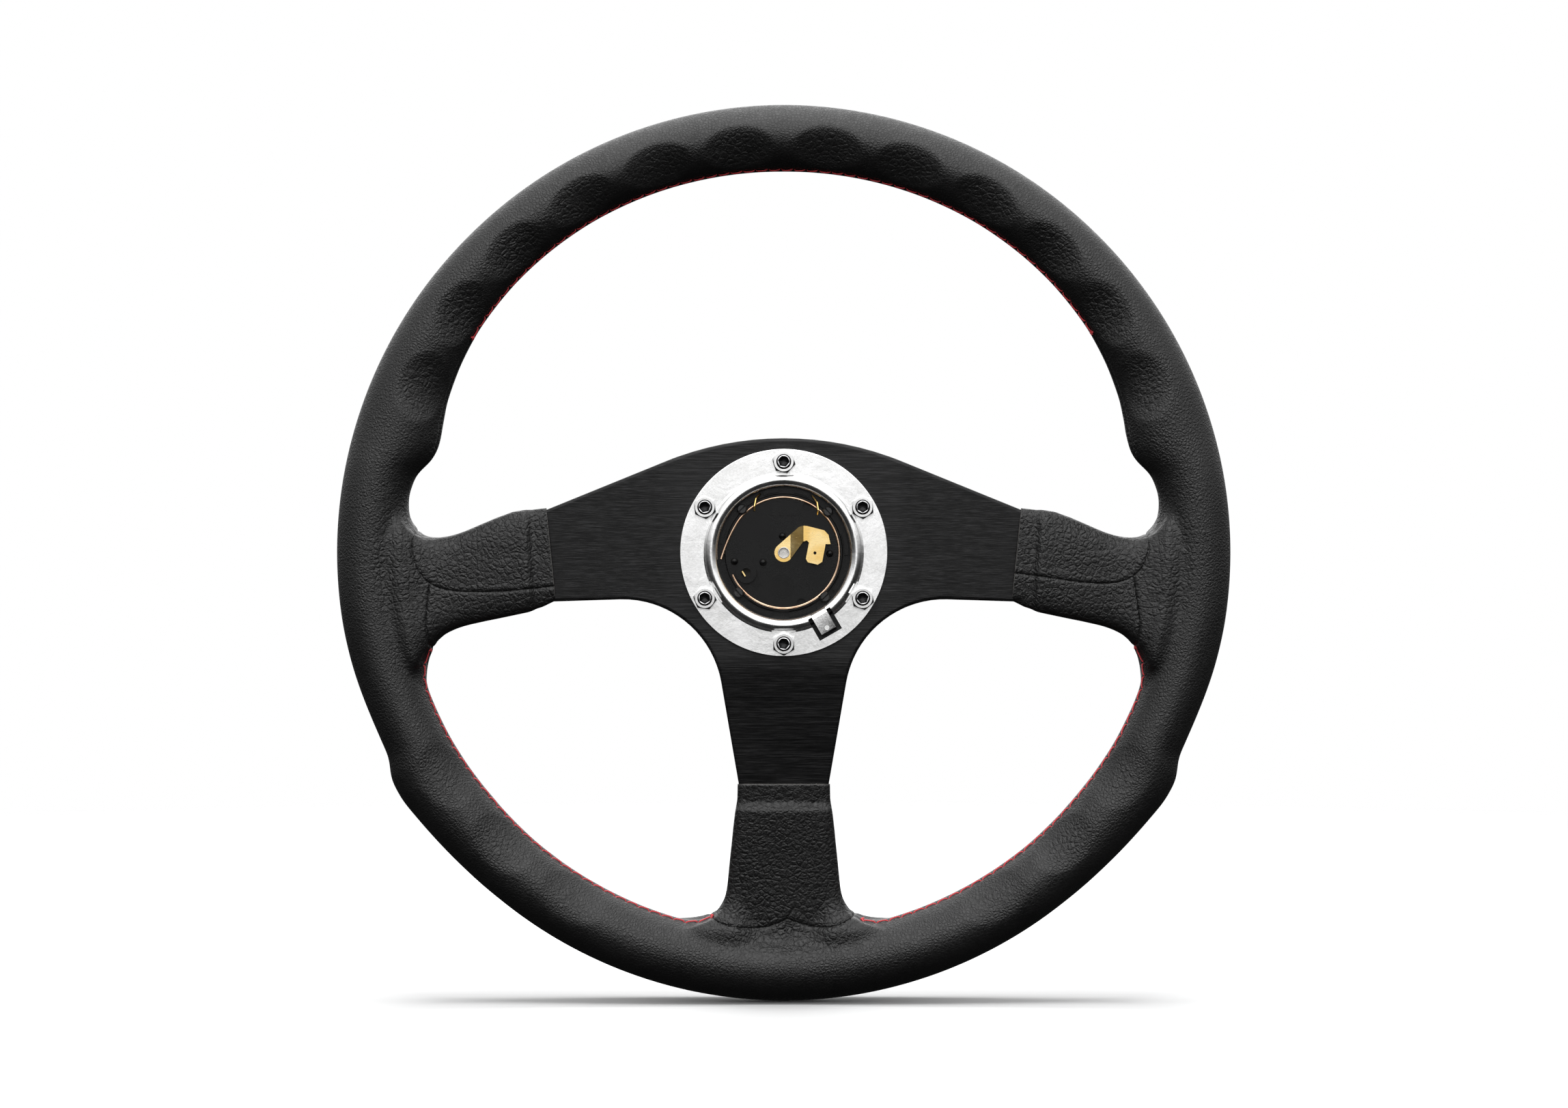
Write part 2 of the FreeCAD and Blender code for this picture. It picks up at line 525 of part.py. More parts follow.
T, BAND = size("sleeve_thickness"), size("sleeve_band_thickness")
wraps, cavities, cores = {}, {}, {}
for side_name, toward in (("right", 1), ("left", -1), ("bottom", 0)):
    outer_section = stepped_section(BAND, T, 86.0, 95.5, 157.0)
    cavity_section = stepped_section(T - 2 * skin, T - 2 * skin, 97.5, 100.0, 157.5)
    core_section = stepped_section(T - 2 * skin - 0.2, T - 2 * skin - 0.2, 98.0, 100.0, 158.0)
    if toward:
        outline = [(toward * u, z) for u, z in SIDE_TOP + SIDE_LOW]
        hollow = [(toward * u, z) for u, z in inset_side(skin, 98.0)]
        stuffing = [(toward * u, z) for u, z in inset_side(skin + 0.1, 98.3)]
    else:
        outline = FOOT
        hollow = inset_foot(skin, -98.0)
        stuffing = inset_foot(skin + 0.1, -98.3)
    outside = common(side_name + "_wrap_outside",
                     [prism_y(side_name + "_wrap_column", outline), slab(side_name + "_wrap_slab", outer_section, toward)])
    cavities[side_name] = common(side_name + "_wrap_cavity",
                                 [prism_y(side_name + "_cavity_column", hollow), slab(side_name + "_cavity_slab", cavity_section, toward)])
    cores[side_name] = common(side_name + "_wrap_core",
                              [prism_y(side_name + "_core_column", stuffing), slab(side_name + "_core_slab", core_section, toward)])
    shell = cut(side_name + "_wrap_shell", outside, cavities[side_name])
    shell = cut(side_name + "_wrap_on_plate", shell, spoke_plate)
    wraps[side_name] = cut(side_name + "_wrap_to_rim", shell, rim_clear)

cover = cut("rim_cover_hollow", rim_outside, rim_inside)
cover = cut("rim_cover_right_opening", cover, cavities["right"])
cover = cut("rim_cover_left_opening", cover, cavities["left"])
leather_rim_cover = cut("leather_rim_cover", cover, cavities["bottom"])
stuffed = fuse("foam_blank", [rim_core] + [cores[k] for k in ("right", "left", "bottom")])
stuffed = cut("foam_on_plate", stuffed, spoke_plate)
foam_grip = cut("foam_grip", stuffed, hoop_bar)

SEAM = {"left": -14.4, "right": -10.6}
panels = []
for side_name in ("left", "right"):
    seam = SEAM[side_name]
    upper = common("leather_%s_spoke_upper" % side_name,
                   [wraps[side_name], block(side_name + "_above_seam", (-200, -20, seam + 0.05), (200, 80, 80))])
    lower = common("leather_%s_spoke_lower" % side_name,
                   [wraps[side_name], block(side_name + "_below_seam", (-200, -20, -80), (200, 80, seam - 0.05))])
    panels += [upper, lower]
leather_bottom_sleeve = wraps["bottom"]
leather_bottom_sleeve.Label = "leather_bottom_sleeve"


# ---------------------------------------------------------------- stitching along the inner side of the rim
def thread(label, start, stop):
    run = doc.addObject("Part::Torus", label)
    run.Radius1, run.Radius2 = size("thread_circle_radius"), size("thread_radius")
    run.setExpression("Radius1", "Sizes.thread_circle_radius")
    run.setExpression("Radius2", "Sizes.thread_radius")
    run.Angle3 = stop - start
    run.Placement = Placement(Vector(0, size("thread_plane"), 0), Rotation(Vector(1, 0, 0), 90).multiply(Rotation(Vector(0, 0, 1), start)))
    return run


stitching_top = thread("stitching_top", 35.5, 145.4)
stitching_lower_left = thread("stitching_lower_left", 198.0, 258.2)
stitching_lower_right = thread("stitching_lower_right", 282.1, 342.0)

# ---------------------------------------------------------------- horn base
REARB, STEP, FRONTB = size("base_rear_plane"), size("base_step_plane"), size("base_front_plane")
base_disc = new_body("base_disc")
base_section = new_sketch(base_disc, "XY_Plane", "base_section")
add_loop(base_section, [
    (0, REARB), (size("base_disc_radius") - 0.3, REARB), (size("base_disc_radius"), REARB + 0.3),
    (size("base_disc_radius"), STEP), (size("base_flange_radius"), STEP), (size("base_flange_radius"), FRONTB), (0, FRONTB)])
revolve(base_disc, base_section, "base_turned")
base_solids = [base_disc]
POSTS = (133.8, 43.1, 221.6, 312.9)


def sector(label, inner, outer, low, high, start, stop):
    """A curved wall between two radii and two angles, standing between two planes along Y."""
    sketch = free_sketch(label + "_outline", TO_XZ)
    mid = (start + stop) / 2
    add_loop(sketch, [
        polar(inner, start) + ("arc",) + polar(inner, mid), polar(outer, start),
        polar(outer, stop) + ("arc",) + polar(outer, mid), polar(inner, stop)])
    return extrusion(label, sketch, Vector(0, 1, 0), high, -low)


FINGERS = [(234, 259.5, 23.4, 24.9, 5.0), (275, 301, 23.4, 24.9, 5.0), (156, 172, 23.9, 24.9, 6.3), (-2, 18, 23.4, 24.9, 5.4),
           (-37, -21, 23.4, 24.9, 5.2), (66, 80, 23.4, 24.9, 5.8), (95, 109, 23.4, 24.9, 5.8)]
for k, (start, stop, inner, outer, low) in enumerate(FINGERS):
    base_solids.append(sector("base_finger_%d" % k, inner, outer, low, STEP + 0.2, start, stop))
for k, angle in enumerate(POSTS):
    base_solids.append(sector("base_post_seat_%d" % k, 22.15, 24.9, 5.0, STEP + 0.2, angle - 4.6, angle + 4.6))
for k, (x, z) in enumerate([(-0.5, 6.45), (-19.0, -3.3), (-8.0, -3.7), (17.7, -0.3)]):
    pip = doc.addObject("Part::Sphere", "base_pip_%d" % k)
    pip.setExpression("Radius", "Sizes.base_pip_radius")
    pip.Placement = Placement(Vector(x, REARB - 0.55, z), Rotation())
    base_solids.append(pip)
boss_x, boss_z = -14.5, -7.9
base_solids.append(cylinder_y("base_boss", boss_x, boss_z, 4.2, REARB + 0.2, "base_boss_radius"))
for k, (x0, z0, x1, z1) in enumerate([(-5.3, 14.3, 5.9, 14.65), (-5.3, 19.55, 5.9, 19.9), (-5.3, 14.3, -4.95, 19.9), (5.55, 14.3, 5.9, 19.9),
                                      (-12.4, -12.1, -8.4, -11.8), (-11.7, -13.0, -9.1, -12.7), (-11.0, -13.9, -9.8, -13.6), (-10.55, -11.9, -10.25, -10.4)]):
    base_solids.append(block("base_mark_%d" % k, (x0, REARB - 0.22, z0), (x1, REARB + 0.1, z1)))
base_blank = fuse("base_blank", base_solids)
base_cuts = [cylinder_y("base_boss_hole", boss_x, boss_z, 0, 20, "base_boss_hole_radius"),
             cylinder_y("base_rivet_hole", 0, 0, 0, 20, "lug_hole_radius")]
for k, angle in enumerate(POSTS):
    x, z = polar(size("post_circle_radius"), angle)
    base_cuts.append(cylinder_y("base_post_hole_%d" % k, x, z, 0, 20, "post_hole_radius"))
for k, (x, z) in enumerate([(8.9, 17.8), (6.8, -19.4)]):
    base_cuts.append(cylinder_y("base_dark_hole_%d" % k, x, z, 0, 7.8, radius=1.7))
for k, (x, z) in enumerate([(-6.2, 6), (5.7, -6.8), (-8.1, 17.8), (-19.9, 5.3), (20.0, 4.3), (18.6, -8.9), (-9.0, -18.9)]):
    base_cuts.append(cylinder_y("base_ejector_mark_%d" % k, x, z, 5.0, REARB + 0.12, radius=1.9))
for k, radius in enumerate((4.75, 3.75, 2.75, 1.75)):
    disc = cylinder_y("groove_disc_%d" % k, -0.7, -13.3, 5.0, REARB + 0.25, radius=radius)
    core = cylinder_y("groove_core_%d" % k, -0.7, -13.3, 4.0, 9.0, radius=radius - 0.5)
    base_cuts.append(cut("base_groove_%d" % k, disc, core))
base_tools = doc.addObject("Part::MultiFuse", "base_tools")
base_tools.Shapes = base_cuts
horn_base = cut("horn_base", base_blank, base_tools)

# ---------------------------------------------------------------- wire ring
WIRE, WIREY = size("wire_circle_radius"), size("wire_plane")


def arc_of_wire(label, alias_radius, radius, centre, start, sweep):
    bar = doc.addObject("Part::Torus", label)
    bar.Radius1, bar.Radius2, bar.Angle3 = radius, size("wire_radius"), sweep
    if alias_radius:
        bar.setExpression("Radius1", "Sizes." + alias_radius)
    bar.setExpression("Radius2", "Sizes.wire_radius")
    bar.Placement = Placement(Vector(centre[0], WIREY, centre[1]), Rotation(Vector(1, 0, 0), 90).multiply(Rotation(Vector(0, 0, 1), start)))
    return bar


flare = 57.0
cx, cz = polar(WIRE - flare, 150.0)
wire_ring = fuse("wire_ring", [arc_of_wire("wire_round", "wire_circle_radius", WIRE, (0, 0), -156.8, 306.8),
                               arc_of_wire("wire_flare", None, flare, (cx, cz), 150.0, 14.4)])

# ---------------------------------------------------------------- terminal lug and its rivet
lug_sheet = size("lug_sheet")
outline = free_sketch("lug_outline", TO_XZ)
LUG = [(-2.5, 2.55, "arc", -2.55, -2.5), (5.8, 9.9), (7.5, 10.4), (8.9, 10.3), (15.6, 8.6), (17.2, 6.9), (18.0, 3.3), (16.1, 3.3), (14.8, -3.5),
       (13.1, -4.6), (9.3, -3.7), (8.5, -2.4), (9.7, 3.9), (8.9, 4.7), (7.5, 4.3), (2.7, -2.3)]
add_loop(outline, LUG)
lug_column = extrusion("lug_column", outline, Vector(0, 1, 0), 20, 20)
bend = free_sketch("lug_section", Placement())
lr = REARB - lug_sheet
add_loop(bend, [(-6, lr), (2.6, lr), (7.6, lr - 2.6), (22, lr - 2.6), (22, lr - 2.6 + lug_sheet), (7.85, lr - 2.6 + lug_sheet),
                (2.85, lr + lug_sheet), (-6, lr + lug_sheet)])
lug_slab = extrusion("lug_slab", bend, Vector(0, 0, 1), 20, 20)
lug_blank = common("lug_blank", [lug_column, lug_slab])
lug_holes = doc.addObject("Part::MultiFuse", "lug_holes")
lug_holes.Shapes = [cylinder_y("lug_rivet_hole", 0, 0, 0, 20, "lug_hole_radius"),
                    cylinder_y("lug_detent_hole", 12.0, -0.1, 0, 20, radius=0.6)]
terminal_lug = cut("terminal_lug", lug_blank, lug_holes)
centre_rivet = new_body("centre_rivet")
rivet = new_sketch(centre_rivet, "XY_Plane", "rivet_section")
rb, ro, rfl = size("rivet_bore_radius"), size("rivet_outer_radius"), size("rivet_flange_radius")
add_loop(rivet, [
    (0, 8.2), (rb, 8.2), (rb, lr - 0.2), (rb + 0.3, lr - 0.4, "arc", rb + 0.08, lr - 0.34), (rfl - 0.1, lr - 0.4), (rfl, lr - 0.25), (rfl, lr), (ro, lr),
    (ro, FRONTB), (3.0, FRONTB), (3.0, FRONTB + 0.4), (0, FRONTB + 0.4)])
revolve(centre_rivet, rivet, "rivet_turned")

# ---------------------------------------------------------------- ground contact: two hooks over the wire and a strip in the boss
hook_radius = size("hook_radius")


def bar_along(points, radius):
    """A bent round bar: straight runs with a ball at each turn."""
    solid = None
    for a, b in zip(points, points[1:]):
        run = Part.makeCylinder(radius, (b - a).Length, a, b - a)
        solid = run if solid is None else solid.fuse(run)
    for p in points[1:-1]:
        solid = solid.fuse(Part.makeSphere(radius, p))
    return solid.removeSplitter()


hooks = [
    bar_along([Vector(-9.1, STEP - 0.5, 22.7), Vector(-10.7, 4.6, 20.9), Vector(-11.3, 4.1, 17.9), Vector(-11.3, 5.3, 16.2)], hook_radius),
    bar_along([Vector(10.9, STEP - 0.5, 22.0), Vector(12.9, 4.6, 19.4), Vector(13.3, 4.1, 16.4), Vector(13.0, 5.3, 14.8)], hook_radius)]
strip = Part.makeBox(0.5, 4.0, 2.3, Vector(-0.25, 0, -1.15))
strip.Placement = Placement(Vector(boss_x - 0.9, 5.0, boss_z - 0.2), Rotation(Vector(0, 1, 0), -31))
ground_contact = doc.addObject("Part::Feature", "ground_contact")
ground_contact.Shape = Part.makeCompound(hooks + [strip])
ground_contact.Placement = Placement()

# ---------------------------------------------------------------- horn cap, its posts, contact and springs
CAPR, SKIN, SKP, INN, FRO = (size("cap_radius"), size("cap_skirt_inner_radius"), size("cap_skirt_plane"),
                             size("cap_inner_plane"), size("cap_front_plane"))
FLOOR, BRR, BR = size("badge_floor_plane"), size("badge_ring_radius"), size("badge_radius")
cap_shell = new_body("cap_shell")
cap_section = new_sketch(cap_shell, "XY_Plane", "cap_section")
add_loop(cap_section, [
    (0, INN), (SKIN - 1.2, INN), (SKIN, INN - 1.2), (SKIN, SKP), (CAPR - 0.3, SKP), (CAPR, SKP + 0.3), (CAPR, 12.2),
    (CAPR - 2.6, FRO - 0.5, "arc", CAPR - 0.75, 14.15), (BRR + 0.6, FRO), (BRR + 0.1, FRO - 0.3), (BRR + 0.1, FLOOR), (0, FLOOR)])
revolve(cap_shell, cap_section, "cap_turned")
cap_solids, slots = [cap_shell], []
for k, angle in enumerate(POSTS):
    x, z = polar(size("post_circle_radius"), angle)
    cap_solids.append(cylinder_y("cap_post_%d" % k, x, z, 4.5, INN + 0.3, "post_radius"))
    cap_solids.append(cylinder_y("cap_post_head_%d" % k, x, z, 3.9, 4.95, "post_head_radius"))
    cone = doc.addObject("Part::Cone", "cap_post_tip_%d" % k)
    cone.Radius1, cone.Radius2, cone.Height = 1.5, size("post_head_radius"), 0.7
    cone.setExpression("Radius2", "Sizes.post_head_radius")
    cone.Placement = Placement(Vector(x, 3.2, z), Rotation(Vector(1, 0, 0), -90))
    cap_solids.append(cone)
    slots.append(block("cap_post_slot_%d" % k, (-0.28, 0, -3), (0.28, 4.2, 3),
                       Placement(Vector(x, 2.0, z), Rotation(Vector(0, 1, 0), -angle))))
cap_blank = fuse("cap_blank", cap_solids)
slot_tools = doc.addObject("Part::MultiFuse", "slot_tools")
slot_tools.Shapes = slots
horn_cap = cut("horn_cap", cap_blank, slot_tools)

cap_contact = new_body("cap_contact")
contact_section = new_sketch(cap_contact, "XY_Plane", "contact_section")
CR, CS, NR, NP = size("contact_radius"), size("contact_sheet"), size("contact_nose_radius"), size("contact_nose_plane")
add_loop(contact_section, [(0, NP), (NR, NP), (NR + 0.8, INN - CS), (CR, INN - CS), (CR, INN), (0, INN)])
revolve(cap_contact, contact_section, "contact_turned")

badge_ring = new_body("badge_ring")
badge_ring_section = new_sketch(badge_ring, "XY_Plane", "badge_ring_section")
add_loop(badge_ring_section, [
    (BR + 0.1, FLOOR), (BRR, FLOOR), (BRR, FRO), (BR + 0.1, FRO, "arc", (BR + BRR + 0.1) / 2, FRO + 0.55)])
revolve(badge_ring, badge_ring_section, "badge_ring_turned")
horn_badge = new_body("horn_badge")
badge_section = new_sketch(horn_badge, "XY_Plane", "badge_section")
add_loop(badge_section, [(0, FLOOR), (BR, FLOOR), (BR, FLOOR + 0.9), (2.0, FLOOR + 1.7, "arc", BR * 0.57, FLOOR + 1.48), (0, FLOOR + 1.7)])
revolve(horn_badge, badge_section, "badge_turned")

coil, gauge = size("spring_coil_radius"), size("spring_wire_radius")
rise = INN - FRONTB - 2 * gauge - 0.04
helix = Part.makeHelix(rise / size("spring_turns"), rise, coil)
spring = Part.Wire(helix).makePipeShell([Part.Wire(Part.Circle(Vector(coil, 0, 0), Vector(0, 1, 0), gauge).toShape())], True, True)
springs = []
for angle in POSTS:
    x, z = polar(size("post_circle_radius"), angle)
    copy = spring.copy()
    copy.Placement = Placement(Vector(x, FRONTB + gauge + 0.02, z), Rotation(Vector(1, 0, 0), -90))
    springs.append(copy)
return_springs = doc.addObject("Part::Feature", "return_springs")
return_springs.Shape = Part.makeCompound(springs)
return_springs.Placement = Placement()
doc.recompute()

NODES = {
    "spoke_plate": spoke_plate, "rim_hoop": rim_hoop, "foam_grip": foam_grip, "leather_rim_cover": leather_rim_cover,
    "leather_left_spoke_upper": panels[0], "leather_left_spoke_lower": panels[1],
    "leather_right_spoke_upper": panels[2], "leather_right_spoke_lower": panels[3],
    "leather_bottom_sleeve": leather_bottom_sleeve, "stitching_top": stitching_top,
    "stitching_lower_left": stitching_lower_left, "stitching_lower_right": stitching_lower_right,
    "horn_retaining_ring": horn_retaining_ring, "hub_screws": hub_screws, "hub_nuts": hub_nuts,
    "horn_base": horn_base, "wire_ring": wire_ring, "terminal_lug": terminal_lug, "centre_rivet": centre_rivet,
    "ground_contact": ground_contact, "return_springs": return_springs, "horn_cap": horn_cap,
    "cap_contact": cap_contact, "badge_ring": badge_ring, "horn_badge": horn_badge}

problems = []
for o in doc.Objects:
    if any(word in o.State for word in ("Invalid", "Error")):
        problems.append("%s: %s" % (o.Name, o.State))
for label, o in NODES.items():
    o.Label = label
    if o.Shape.isNull() or not o.Shape.isValid() or o.Shape.Volume <= 0:
        problems.append("%s: no valid solid" % label)
if problems:
    raise RuntimeError("; ".join(problems))
os.makedirs("parts", exist_ok=True)
for label, o in NODES.items():
    shape = o.Shape
    b = shape.BoundBox
    print("%-28s %2d solid(s) %10.1f mm3  x %.1f..%.1f y %.1f..%.1f z %.1f..%.1f" % (
        label, len(shape.Solids), shape.Volume, b.XMin, b.XMax, b.YMin, b.YMax, b.ZMin, b.ZMax))
    shape.exportStep("parts/%s.step" % label)
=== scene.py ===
import math

import bpy
import numpy as np
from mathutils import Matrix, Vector


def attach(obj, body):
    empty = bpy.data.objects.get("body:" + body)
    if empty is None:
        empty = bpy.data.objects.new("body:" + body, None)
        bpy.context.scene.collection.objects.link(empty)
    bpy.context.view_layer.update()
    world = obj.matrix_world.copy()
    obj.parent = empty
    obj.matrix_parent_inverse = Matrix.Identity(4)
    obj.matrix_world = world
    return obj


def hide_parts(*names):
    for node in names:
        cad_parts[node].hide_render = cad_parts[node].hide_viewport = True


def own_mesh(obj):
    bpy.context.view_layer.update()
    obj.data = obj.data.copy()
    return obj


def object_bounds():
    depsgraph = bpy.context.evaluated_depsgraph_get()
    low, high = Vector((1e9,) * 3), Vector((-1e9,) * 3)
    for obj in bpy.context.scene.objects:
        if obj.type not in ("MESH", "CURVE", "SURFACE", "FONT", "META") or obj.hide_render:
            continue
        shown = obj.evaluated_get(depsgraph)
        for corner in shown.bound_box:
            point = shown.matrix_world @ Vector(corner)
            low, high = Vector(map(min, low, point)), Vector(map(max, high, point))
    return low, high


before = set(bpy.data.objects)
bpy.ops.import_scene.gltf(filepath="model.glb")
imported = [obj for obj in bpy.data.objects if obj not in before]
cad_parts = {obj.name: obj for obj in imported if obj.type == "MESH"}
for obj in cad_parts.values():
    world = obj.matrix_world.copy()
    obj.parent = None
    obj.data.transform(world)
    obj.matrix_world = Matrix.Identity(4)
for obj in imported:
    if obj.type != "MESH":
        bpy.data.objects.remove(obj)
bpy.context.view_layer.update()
MM = 0.001

# ------------------------------------------------------------------ camera
# It looks straight at the wheel's rear face, a metre and a half from the rim.
cam_data = bpy.data.cameras.new("view")
cam_data.sensor_width = 36.0
cam_data.lens = 36.0 * 1500.0 / 613.9
cam_data.clip_start, cam_data.clip_end = 0.05, 60.0
cam = bpy.data.objects.new("view", cam_data)
cam.location = (0.0001, -1.471, -0.0005)
cam.rotation_euler = (math.radians(90), 0, 0)
bpy.context.scene.collection.objects.link(cam)
bpy.context.scene.camera = cam


# ------------------------------------------------------------------ node tree helper
class Tree:
    """A short way to write a material's nodes."""

    def __init__(self, name):
        self.m = bpy.data.materials.new(name)
        self.m.use_nodes = True
        self.t = self.m.node_tree
        self.t.nodes.clear()
        self.out = self.t.nodes.new("ShaderNodeOutputMaterial")
        self.bsdf = self.t.nodes.new("ShaderNodeBsdfPrincipled")
        self.t.links.new(self.bsdf.outputs[0], self.out.inputs[0])
        self.co = self.t.nodes.new("ShaderNodeTexCoord").outputs["Object"]

    def put(self, sock, value):
        if hasattr(value, "is_output") or isinstance(value, bpy.types.NodeSocket):
            self.t.links.new(value, sock)
        elif value is not None:
            sock.default_value = value

    def shader(self, **values):
        for k, v in values.items():
            self.put(self.bsdf.inputs[k.replace("_", " ")], v)
        return self

    def scaled(self, x, y, z, source=None, rotate=(0, 0, 0)):
        n = self.t.nodes.new("ShaderNodeMapping")
        n.inputs["Scale"].default_value = (x, y, z)
        n.inputs["Rotation"].default_value = rotate
        self.put(n.inputs["Vector"], source or self.co)
        return n.outputs[0]

    def noise(self, vector=None, scale=1.0, detail=3.0, rough=0.5, distortion=0.0, colour=False):
        n = self.t.nodes.new("ShaderNodeTexNoise")
        self.put(n.inputs["Vector"], vector or self.co)
        n.inputs["Scale"].default_value = scale
        n.inputs["Detail"].default_value = detail
        n.inputs["Roughness"].default_value = rough
        n.inputs["Distortion"].default_value = distortion
        return n.outputs["Color" if colour else "Fac"]

    def cells(self, vector=None, scale=1.0, feature="F1", smooth=0.5, random=1.0):
        n = self.t.nodes.new("ShaderNodeTexVoronoi")
        n.feature = feature
        self.put(n.inputs["Vector"], vector or self.co)
        n.inputs["Scale"].default_value = scale
        n.inputs["Randomness"].default_value = random
        if feature == "SMOOTH_F1":
            n.inputs["Smoothness"].default_value = smooth
        return n.outputs["Distance"]

    def math(self, op, a, b=None, c=None, clamp=False):
        n = self.t.nodes.new("ShaderNodeMath")
        n.operation, n.use_clamp = op, clamp
        self.put(n.inputs[0], a)
        if b is not None:
            self.put(n.inputs[1], b)
        if c is not None:
            self.put(n.inputs[2], c)
        return n.outputs[0]

    def vec(self, op, a, b):
        n = self.t.nodes.new("ShaderNodeVectorMath")
        n.operation = op
        self.put(n.inputs[0], a)
        self.put(n.inputs[1], b)
        return n.outputs["Value" if op == "DISTANCE" else "Vector"]

    def split(self, vector):
        n = self.t.nodes.new("ShaderNodeSeparateXYZ")
        self.put(n.inputs[0], vector)
        return n.outputs

    def remap(self, value, a, b, c, d):
        n = self.t.nodes.new("ShaderNodeMapRange")
        self.put(n.inputs["Value"], value)
        for key, v in (("From Min", a), ("From Max", b), ("To Min", c), ("To Max", d)):
            self.put(n.inputs[key], v)
        return n.outputs[0]

    def ramp(self, value, stops):
        n = self.t.nodes.new("ShaderNodeValToRGB")
        self.put(n.inputs[0], value)
        e = n.color_ramp.elements
        while len(e) < len(stops):
            e.new(0.5)
        for el, (pos, col) in zip(e, stops):
            el.position, el.color = pos, (col + (1,) if len(col) == 3 else col)
        return n.outputs[0]

    def mix(self, fac, a, b):
        n = self.t.nodes.new("ShaderNodeMix")
        n.data_type = "RGBA"
        self.put(n.inputs[0], fac)
        self.put(n.inputs[6], a if not isinstance(a, tuple) else a + (1,))
        self.put(n.inputs[7], b if not isinstance(b, tuple) else b + (1,))
        return n.outputs[2]

    def bump(self, height, strength=1.0, distance=0.001, normal=None):
        n = self.t.nodes.new("ShaderNodeBump")
        n.inputs["Strength"].default_value = strength
        n.inputs["Distance"].default_value = distance
        self.put(n.inputs["Height"], height)
        if normal is not None:
            self.put(n.inputs["Normal"], normal)
        return n.outputs[0]

    def attribute(self, name):
        n = self.t.nodes.new("ShaderNodeAttribute")
        n.attribute_name = name
        return n.outputs


def dress(node, *materials):
    """Gives a CAD node its material."""
    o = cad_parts[node]
    o.data.materials.clear()
    for m in materials:
        o.data.materials.append(m)
    for p in o.data.polygons:
        p.material_index = 0
    return o


# ------------------------------------------------------------------ materials
def leather_material(name):
    """Pebbled black hide: rounded pebbles between creases, larger ones and long creases where it is stretched, fine pores."""
    t = Tree(name)
    grain = t.attribute("grain")          # a place on the hide, with its third number across the piece (metres)
    gx, gy, across = t.split(grain["Vector"])
    fold = t.attribute("fold")["Fac"]     # how much the hide is creased
    wander = t.noise(scale=260.0, detail=2.0, colour=True)
    soft = t.vec("SCALE", wander, (0, 0, 0))
    soft.node.inputs["Scale"].default_value = 0.0012
    place = t.vec("ADD", t.co, soft)
    small = t.math("MULTIPLY", t.cells(place, 760.0, "DISTANCE_TO_EDGE"), 3.6)
    large = t.math("MULTIPLY", t.cells(place, 430.0, "DISTANCE_TO_EDGE"), 4.4)
    big = t.remap(fold, 0.15, 0.75, 0.0, 1.0)
    small = t.math("SMOOTH_MIN", small, 1.0, 0.6)
    large = t.math("SMOOTH_MIN", large, 1.0, 0.6)
    both = t.math("ADD", t.math("MULTIPLY", small, t.math("SUBTRACT", 1.0, t.math("MULTIPLY", big, 0.72))), t.math("MULTIPLY", large, t.math("MULTIPLY", big, 0.72)))
    fine = t.cells(place, 1650.0, "SMOOTH_F1", 0.3)
    comb = t.t.nodes.new("ShaderNodeCombineXYZ")
    t.put(comb.inputs[0], t.math("MULTIPLY", gx, 640.0))
    t.put(comb.inputs[1], t.math("MULTIPLY", gy, 640.0))
    t.put(comb.inputs[2], t.math("MULTIPLY", across, 210.0))
    crease = t.noise(comb.outputs[0], 1.0, 3.0, 0.55, 0.9)
    crease = t.math("SUBTRACT", 1.0, t.math("ABSOLUTE", t.math("MULTIPLY", t.math("SUBTRACT", crease, 0.5), 7.5)), clamp=True)
    pores = t.noise(scale=2700.0, detail=2.0)
    patch = t.remap(t.noise(scale=30.0, detail=2.0), 0.35, 0.65, 0.6, 1.0)
    coarse = t.math("MULTIPLY", patch, t.remap(fold, 0.0, 0.8, 0.40, 1.0))
    height = t.math("MULTIPLY", both, coarse)
    height = t.math("SUBTRACT", height, t.math("MULTIPLY", crease, t.math("MULTIPLY", fold, 0.27)))
    height = t.math("SUBTRACT", height, t.math("MULTIPLY", fine, 0.26))
    height = t.math("ADD", height, t.math("MULTIPLY", pores, 0.13))
    shade = t.noise(scale=48.0, detail=3.0)
    # Painted shade: the base colour is darker in the creases between the pebbles and lighter on their tops.
    painted_crease_shade = t.math("MULTIPLY", both, 0.8)
    base = t.mix(painted_crease_shade, (0.0018, 0.0018, 0.0019), (0.0085, 0.0084, 0.0086))
    base = t.mix(t.remap(shade, 0.35, 0.7, 0.0, 0.4), base, (0.0125, 0.0122, 0.0122))
    rough = t.remap(t.noise(scale=420.0, detail=3.0), 0.3, 0.7, 0.30, 0.41)
    rough = t.math("ADD", rough, t.math("MULTIPLY", t.math("SUBTRACT", 1.0, both, clamp=True), 0.18))
    t.shader(Base_Color=base, Roughness=rough, Normal=t.bump(height, 1.0, 0.00030), IOR=1.5, Specular_IOR_Level=0.54)
    return t.m


def raw_edge_material():
    t = Tree("leather_cut_edge")
    fibre = t.noise(t.scaled(1, 1, 1), 1500.0, 4.0, 0.7)
    t.shader(Base_Color=t.ramp(fibre, [(0.3, (0.05, 0.048, 0.045)), (0.7, (0.2, 0.19, 0.18))]), Roughness=0.8,
             Normal=t.bump(fibre, 0.6, 0.0002))
    return t.m


def thread_material():
    t = Tree("stitching_thread")
    fibre = t.noise(scale=5200.0, detail=3.0, rough=0.7)
    soft = t.noise(scale=300.0, detail=1.0)
    base = t.mix(fibre, (0.42, 0.012, 0.018), (0.88, 0.085, 0.10))
    base = t.mix(t.math("MULTIPLY", soft, 0.3), base, (0.70, 0.03, 0.045))
    t.shader(Base_Color=base, Roughness=0.55, Normal=t.bump(fibre, 0.5, 0.00008), Sheen_Weight=0.35, Sheen_Roughness=0.4)
    return t.m


